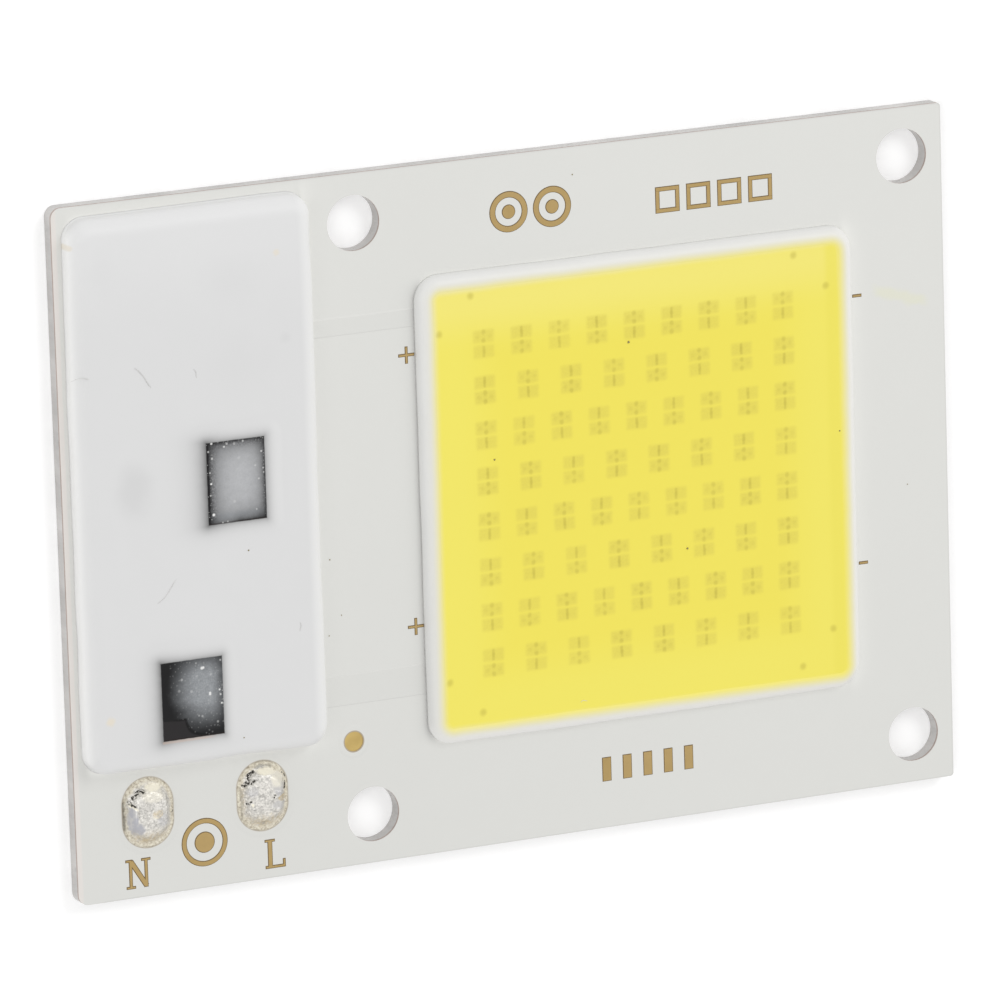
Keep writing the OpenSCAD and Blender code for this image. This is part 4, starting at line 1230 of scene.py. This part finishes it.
class LEDM_OT_solder(Operator):
    """Melt a lump of frosted solder onto each wire pad"""

    bl_idname = "ledm.solder"
    bl_label = "Wire pad solder"

    def execute(self, context):
        look = context.scene.led_module.solder
        material = solder_finish(look)
        for key, seed in (("n", 31), ("l", 47)):
            low, high = PAD_BOXES[key]
            middle, half = (low + high) / 2, (high - low) / 2
            radius = half[0] - 0.02
            path = outline(half[:2], radius, 42, 0.06)
            edge = carried_rings(path, radius, [0.0], [0.0])[0]
            shares = np.concatenate([[1.0, 1.0], np.linspace(0.985, 0.01, 84)])
            rings = shrunk_rings(edge, shares)
            x, y = rings[..., 0], rings[..., 1]
            share = np.broadcast_to(shares[:, None], x.shape)
            values = self.features(key, x, y)
            rings[..., 2] = self.heights(x, y, half[1], high[2] - MASK_TOP, share,
                                         values, look.lump / MM, seed)
            rings += [middle[0], middle[1], MASK_TOP]
            mesh = ring_mesh("solder_lump_" + key, rings)
            del values["notch"]
            for name, value in (("rim", share), *values.items()):
                poles = [value[0].mean(), value[-1].mean()]
                value = np.concatenate([value.ravel(), poles]).astype(np.float32)
                spread = mesh.attributes.new(name, "FLOAT", "POINT")
                spread.data.foreach_set("value", value)
            new_piece(mesh, material, ["solder_joint_" + key])
        return {"FINISHED"}

    @staticmethod
    def heights(x, y, half, tall, share, values, lump, seed):
        """Heights of a lump: thin flux at the rim, a steep shoulder, then a dome.

        share is 1 at the rim and 0 in the middle. Lumps of two sizes lie on the dome,
        and creases and notches cut into it.
        """
        flux = 0.02
        inward = 1 - share
        dome = 0.12 * ease(inward, 0.0, 0.05) + 0.88 * ease(inward, 0.1, 0.45)
        height = (tall * 0.8 + 0.1 * y / half * tall) * dome
        lumps = (smooth_noise(x + 9, y + 9, 0.62, seed)
                 + 0.5 * smooth_noise(x + 5, y + 7, 0.27, seed + 1))
        height += lump * lumps * ease(inward, 0.1, 0.35) * (1 - 0.7 * values["smooth"])
        cuts = values["crease"] + values["notch"]
        height -= cuts * 0.14 * tall * ease(inward, 0.04, 0.2)
        height = np.clip(height, flux, tall)
        height[0], height[1] = 0.0, flux
        return height

    @staticmethod
    def line(x, y, ax, ay, bx, by, width):
        """1 on the straight line from a to b, easing to 0 at the width from it."""
        run = np.array([bx - ax, by - ay])
        share = np.clip(((x - ax) * run[0] + (y - ay) * run[1]) / (run @ run), 0, 1)
        return ease(np.hypot(x - ax - share * run[0], y - ay - share * run[1]),
                    width, width * 0.35)

    @staticmethod
    def oval(x, y, cx, cy, rx, ry):
        """1 inside an upright oval, easing to 0 just outside it."""
        return ease(np.hypot((x - cx) / rx, (y - cy) / ry), 1.15, 0.75)

    def features(self, key, x, y):
        """Creases, facets, lobes and tints of one lump, each 0 to 1 at every point.

        They are lines and ovals whose edges wander with a fine noise. Each is the
        largest of its rows, and some reach along a whole side of the lump.
        """
        x = x + 0.05 * smooth_noise(x + 3, y + 4, 0.17, 77)
        y = y + 0.05 * smooth_noise(x + 8, y + 2, 0.17, 78)
        values = {}
        for name, rows in LUMP_FEATURES[key].items():
            values[name] = reduce(np.maximum, [
                row[0] * (self.line if len(row) == 6 else self.oval)(x, y, *row[1:])
                for row in rows], np.zeros_like(x))
        foot = 0.75 * ease(y, -0.7, -1.6)
        values["amber"] = np.maximum(values["amber"], foot)
        if key == "n":
            left, low = ease(x, -1.1, -1.35), 1 - ease(y, -0.6, -1.1)
            values["shadow"] = values["shadow"] + 0.35 * left * low
        else:
            left = 0.5 * ease(x, -1.05, -1.3)
            values["amber"] = np.maximum(values["amber"], left)
        return values


# Centre, radius and line of each locating ring and of the dots inside them.
LOCATING_RINGS = (
    (0.2, 16.7, 1.0, 0.3), (2.9, 16.7, 1.0, 0.3), (0.2, 16.7, 0.18, 0.4),
    (2.9, 16.7, 0.18, 0.4), (-19.75, -17.35, 1.25, 0.24), (-19.75, -17.35, 0.28, 0.6))


class LEDM_OT_marks(Operator):
    """Set the gold marks: terminal letters, polarity signs and plain tick boxes"""

    bl_idname = "ledm.marks"
    bl_label = "Gold marks"

    def execute(self, context):
        look = context.scene.led_module
        marks = look.marks
        plate, edge = marks.plate / MM, marks.edge / MM
        # the dark outlines are painted shade round each mark
        rim = plain_finish("mark_recess_shade", marks.recess_shade_colour, 0.6, 0.3, 0.1, 0.3)
        gold = gold_finish("mark_gold", marks.mark_colour, look.board, 0.3)
        # painted shade of the mask's recessed openings: the dark edge is wider than its
        # mark, half as high, and moved up and left
        move = edge * 0.3
        bars = np.array(self.letters() + self.signs() + self.tick_boxes()
                        + self.dashes(), float)
        outer = bars + [-move, move, 2 * edge, 2 * edge, 0]
        rings = np.array(LOCATING_RINGS)
        recess_shade_rings = rings + [-move, move, 0, 2 * edge]
        low = plate * 0.5
        for mesh, material in ((bar_mesh("mark_recess_shades", outer, low), rim),
                               (bar_mesh("mark_plates", bars, plate), gold),
                               (self.bands("ring_recess_shades", recess_shade_rings, low), rim),
                               (self.bands("ring_plates", rings, plate), gold)):
            new_piece(mesh, material)
        return {"FINISHED"}

    @staticmethod
    def bands(name, rings, top):
        """Flat rings of four circles: outer foot, outer top, inner top and inner foot.

        Where the line is wider than the ring, the inner circles shrink to the centre.
        """
        x, y, radius, width = rings.T[:, :, None, None]
        turn = full_turn(48)
        reach = radius + np.array([0.5, 0.47, -0.47, -0.5])[:, None] * width
        reach = np.maximum(reach, 0.001)
        rise = np.array([0.0, top, top, 0.0])[:, None] + MASK_TOP + 0 * reach * turn
        parts = np.stack([x + reach * np.cos(turn), y + reach * np.sin(turn), rise], -1)
        return ring_mesh(name, parts, closed=True, smooth=False)

    @staticmethod
    def letters():
        """Capital N and capital L with slab serifs."""
        y, n_x, l_x, serif = -18.6, -23.84, -15.5, 0.09
        return [(n_x - 0.46, y, 0.14, 1.6, 0), (n_x + 0.48, y, 0.14, 1.6, 0),
                (n_x + 0.02, y, 0.24, 1.72, 31.0),
                (n_x - 0.46, y - 0.78, 0.5, serif, 0),
                (n_x - 0.56, y + 0.78, 0.34, serif, 0),
                (n_x + 0.48, y + 0.78, 0.5, serif, 0),
                (l_x - 0.28, y, 0.22, 1.55, 0), (l_x - 0.28, y + 0.77, 0.56, serif, 0),
                (l_x + 0.03, y - 0.77, 1.16, 0.11, 0),
                (l_x + 0.57, y - 0.6, 0.1, 0.4, 0)]

    @staticmethod
    def signs():
        """Plus signs on one side of the field, minus signs on the other."""
        line, long, short = 0.11, 0.92, 0.52
        plus = [(-6.37, 9.2), (-6.33, -6.57)]
        minus = [(21.93, 9.3), (21.97, -6.5)]
        return ([(x, y, long, line, 0) for x, y in plus]
                + [(x, y, line, long, 0) for x, y in plus]
                + [(x, y, short, line, 0) for x, y in minus])

    @staticmethod
    def tick_boxes():
        """Four open square boxes in a row, above the field."""
        bars, y, side, line = [], 16.3, 1.45, 0.2
        reach = (side - line) / 2
        for x in (10.1, 12.05, 14.0, 15.95):
            bars += [(x, y + reach, side, line, 0), (x, y - reach, side, line, 0),
                     (x - reach, y, line, side - 2 * line, 0),
                     (x + reach, y, line, side - 2 * line, 0)]
        return bars

    @staticmethod
    def dashes():
        """A row of five short index bars below the field."""
        return [(x, -16.55, 0.5, 1.35, 0) for x in (5.3, 6.6, 7.9, 9.2, 10.5)]


# What dirt lies on: just above the slab and the mask, and level with the phosphor.
ON_SLAB, ON_FIELD, ON_MASK = SLAB_HIGH[2] + 0.01, FIELD_HIGH[2], MASK_TOP + 0.01
# Hairs: x and y of both ends, how far they bend to the side, and height.
HAIRS = ((-27.25, 10.45, -25.75, 10.5, 0.10, ON_SLAB - 0.06),
         (-23.45, 10.8, -22.45, 9.6, 0.06, ON_SLAB),
         (-19.9, 10.3, -19.7, 9.8, 0.04, ON_SLAB),
         (-22.6, -2.8, -21.35, -1.6, -0.08, ON_SLAB),
         (-14.05, -5.0, -14.0, -5.5, 0.05, ON_SLAB),
         (3.5, -12.2, 3.9, -12.1, 0.06, ON_FIELD))
# Grains: x, y, height and radius.
GRAINS = ((7.13, 8.46, ON_FIELD, 0.07), (-1.42, 2.66, ON_FIELD, 0.055),
          (10.48, -4.04, ON_FIELD, 0.06), (20.33, 1.66, ON_FIELD, 0.05),
          (-17.7, -11.2, ON_SLAB, 0.04), (-17.0, -0.45, ON_SLAB, 0.045),
          (-11.5, -2.0, ON_MASK, 0.04), (-10.9, -5.3, ON_MASK, 0.035),
          (-11.7, -6.4, ON_MASK, 0.035), (4.2, 18.4, ON_MASK, 0.04),
          (24.9, -2.2, ON_MASK, 0.035))


class LEDM_OT_dust(Operator):
    """Scatter the few hairs and grains that lie on the board"""

    bl_idname = "ledm.dust"
    bl_label = "Dust"

    def execute(self, context):
        look = context.scene.led_module.dust
        radius = look.fibre_width / MM / 2
        hairs = ring_mesh("dust_hairs", [self.thread(*hair, radius) for hair in HAIRS])
        pale = plain_finish("hair", look.fibre_colour, 0.6, 0.0, 0.15, 0.3)
        new_piece(hairs, pale)
        grains = ring_mesh("dust_grains", [self.grain(*grain) for grain in GRAINS])
        dark = plain_finish("grain", look.grain_colour, 0.7, 0.0, 0.25, 0.08)
        new_piece(grains, dark)
        return {"FINISHED"}

    @staticmethod
    def thread(x0, y0, x1, y1, bend, height, radius):
        """A hair: a straight run bent sideways by three quarters of a sine wave."""
        t = np.linspace(0, 1, 21)
        run = np.array([x1 - x0, y1 - y0])
        side = np.array([-run[1], run[0]]) / np.hypot(*run)
        wave = bend * np.sin(1.5 * math.pi * t)
        flat = np.array([x0, y0]) + t[:, None] * run + wave[:, None] * side
        return tube_rings(with_height(flat, height), radius)

    @staticmethod
    def grain(x, y, z, radius):
        """A pebble: circles of latitude whose radius wavers with both angles."""
        down, around = np.meshgrid(np.linspace(-1.3, 1.3, 7), full_turn(10),
                                   indexing="ij")
        reach = radius * (1 + 0.2 * np.sin(3 * around + 40 * x) * np.cos(down))
        return np.stack([x + reach * np.cos(down) * np.cos(around),
                         y + reach * np.cos(down) * np.sin(around),
                         z + 0.6 * reach * np.sin(down)], -1)


class LEDM_OT_stage(Operator):
    """Set the pale floor, the soft light and the camera"""

    bl_idname = "ledm.stage"
    bl_label = "Stage"

    def execute(self, context):
        look = context.scene.led_module.stage
        self.floor(look)
        self.sky(context, look)
        self.lamp(context, "key_lamp", look.key, (0.42, 0.50, 0.62))
        self.lamp(context, "fill_lamp", look.fill, (-0.50, 0.02, 0.50))
        self.camera(context, look)
        return {"FINISHED"}

    @staticmethod
    def seen_directly(tree):
        """1 for rays from the camera and for reflected and refracted ones."""
        path = add_node(tree, "ShaderNodeLightPath")
        kinds = ("Is Camera Ray", "Is Glossy Ray", "Is Transmission Ray")
        return reduce(Value.most, [Value(tree, path.outputs[kind]) for kind in kinds])

    def floor(self, look):
        """A round slab, just under the board, that glows a little when it is seen."""
        gap, thick = 0.02, 2.0
        turn = full_turn(96)
        reach = np.array([1500.0, 600.0, 200.0, 60.0, 10.0])[:, None]
        flat = np.stack([reach * np.cos(turn), reach * np.sin(turn)], -1)
        rings = np.concatenate([with_height(flat[::-1], -gap - thick),
                                with_height(flat, -gap)])
        mesh = ring_mesh("floor", rings)
        floor = bpy.data.objects.new("floor", mesh)
        bpy.context.scene.collection.objects.link(floor)
        f = Finish("floor_white", roughness=0.9, specular=0.0)
        f.set("Base Color", look.floor_colour)
        f.set("Emission Color", (1.0, 1.0, 1.0))
        f.set("Emission Strength", self.seen_directly(f.tree) * look.floor_glow)
        mesh.materials.append(f.material)

    def sky(self, context, look):
        """Even light of its own strength that looks plain white when it is seen."""
        world = bpy.data.worlds.new("soft_sky")
        context.scene.world = world
        world.use_nodes = True
        tree, white = world.node_tree, (1.0, 1.0, 1.0)
        light = tree.nodes["Background"]
        feed(tree, white, light.inputs["Color"])
        feed(tree, look.sky, light.inputs["Strength"])
        seen = add_node(tree, "ShaderNodeBackground",
                        (("Color", white), ("Strength", 1.0)))
        mix = add_node(tree, "ShaderNodeMixShader",
                       ((0, self.seen_directly(tree)), (1, light.outputs[0]),
                        (2, seen.outputs[0])))
        feed(tree, mix.outputs[0], tree.nodes["World Output"].inputs["Surface"])

    @staticmethod
    def lamp(context, name, power, place, size=0.42):
        """A round soft lamp that points at the board."""
        data = bpy.data.lights.new(name, "AREA")
        data.energy = power
        data.shape = "DISK"
        data.size = size
        lamp = bpy.data.objects.new(name, data)
        context.scene.collection.objects.link(lamp)
        lamp.location = place
        lamp.rotation_euler = Vector(place).to_track_quat("Z", "Y").to_euler()

    @staticmethod
    def camera(context, look):
        data = bpy.data.cameras.new("camera")
        data.lens = look.lens
        data.sensor_width = 36.0
        data.clip_start, data.clip_end = 0.01, 10.0
        camera = bpy.data.objects.new("camera", data)
        context.scene.collection.objects.link(camera)
        back = (Vector(look.viewpoint) - Vector(look.aim)).normalized()
        right = Vector((0, 1, 0)).cross(back).normalized()
        axes = Matrix((right, back.cross(right), back)).transposed()
        turned = axes @ Matrix.Rotation(look.roll, 3, "Z")
        camera.matrix_world = Matrix.Translation(look.viewpoint) @ turned.to_4x4()
        context.scene.camera = camera


class LEDM_PT_panel(Panel):
    """Sidebar panel with the module's finishes"""

    bl_idname = "LEDM_PT_panel"
    bl_label = "LED module"
    bl_space_type = "VIEW_3D"
    bl_region_type = "UI"
    bl_category = "LED module"

    def draw(self, context):
        for operator in OPERATORS:
            self.layout.operator(operator.bl_idname)
        for name in ("board", "field", "driver", "solder", "marks", "dust", "stage"):
            group = getattr(context.scene.led_module, name)
            box = self.layout.box()
            box.label(text=name.capitalize())
            for prop in group.bl_rna.properties:
                if not prop.is_readonly and prop.identifier != "name":
                    box.prop(group, prop.identifier)


OPERATORS = (LEDM_OT_board, LEDM_OT_chips, LEDM_OT_dam, LEDM_OT_phosphor,
             LEDM_OT_potting, LEDM_OT_solder, LEDM_OT_marks, LEDM_OT_dust,
             LEDM_OT_stage)
GROUPS = (LEDM_PG_board, LEDM_PG_field, LEDM_PG_driver, LEDM_PG_solder,
          LEDM_PG_marks, LEDM_PG_dust, LEDM_PG_stage, LEDM_PG_module)
CLASSES = (*GROUPS, *OPERATORS, LEDM_PT_panel)


def register():
    for cls in CLASSES:
        bpy.utils.register_class(cls)
    bpy.types.Scene.led_module = PointerProperty(type=LEDM_PG_module)


def unregister():
    del bpy.types.Scene.led_module
    for cls in reversed(CLASSES):
        bpy.utils.unregister_class(cls)


def main():
    register()
    scene = bpy.context.scene
    scene.view_settings.view_transform = "Standard"
    bpy.ops.ledm.board()
    bpy.ops.ledm.chips()
    bpy.ops.ledm.dam()
    bpy.ops.ledm.phosphor()
    bpy.ops.ledm.potting()
    bpy.ops.ledm.solder()
    bpy.ops.ledm.marks()
    bpy.ops.ledm.dust()
    bpy.ops.ledm.stage()


if __name__ == "__main__":
    main()
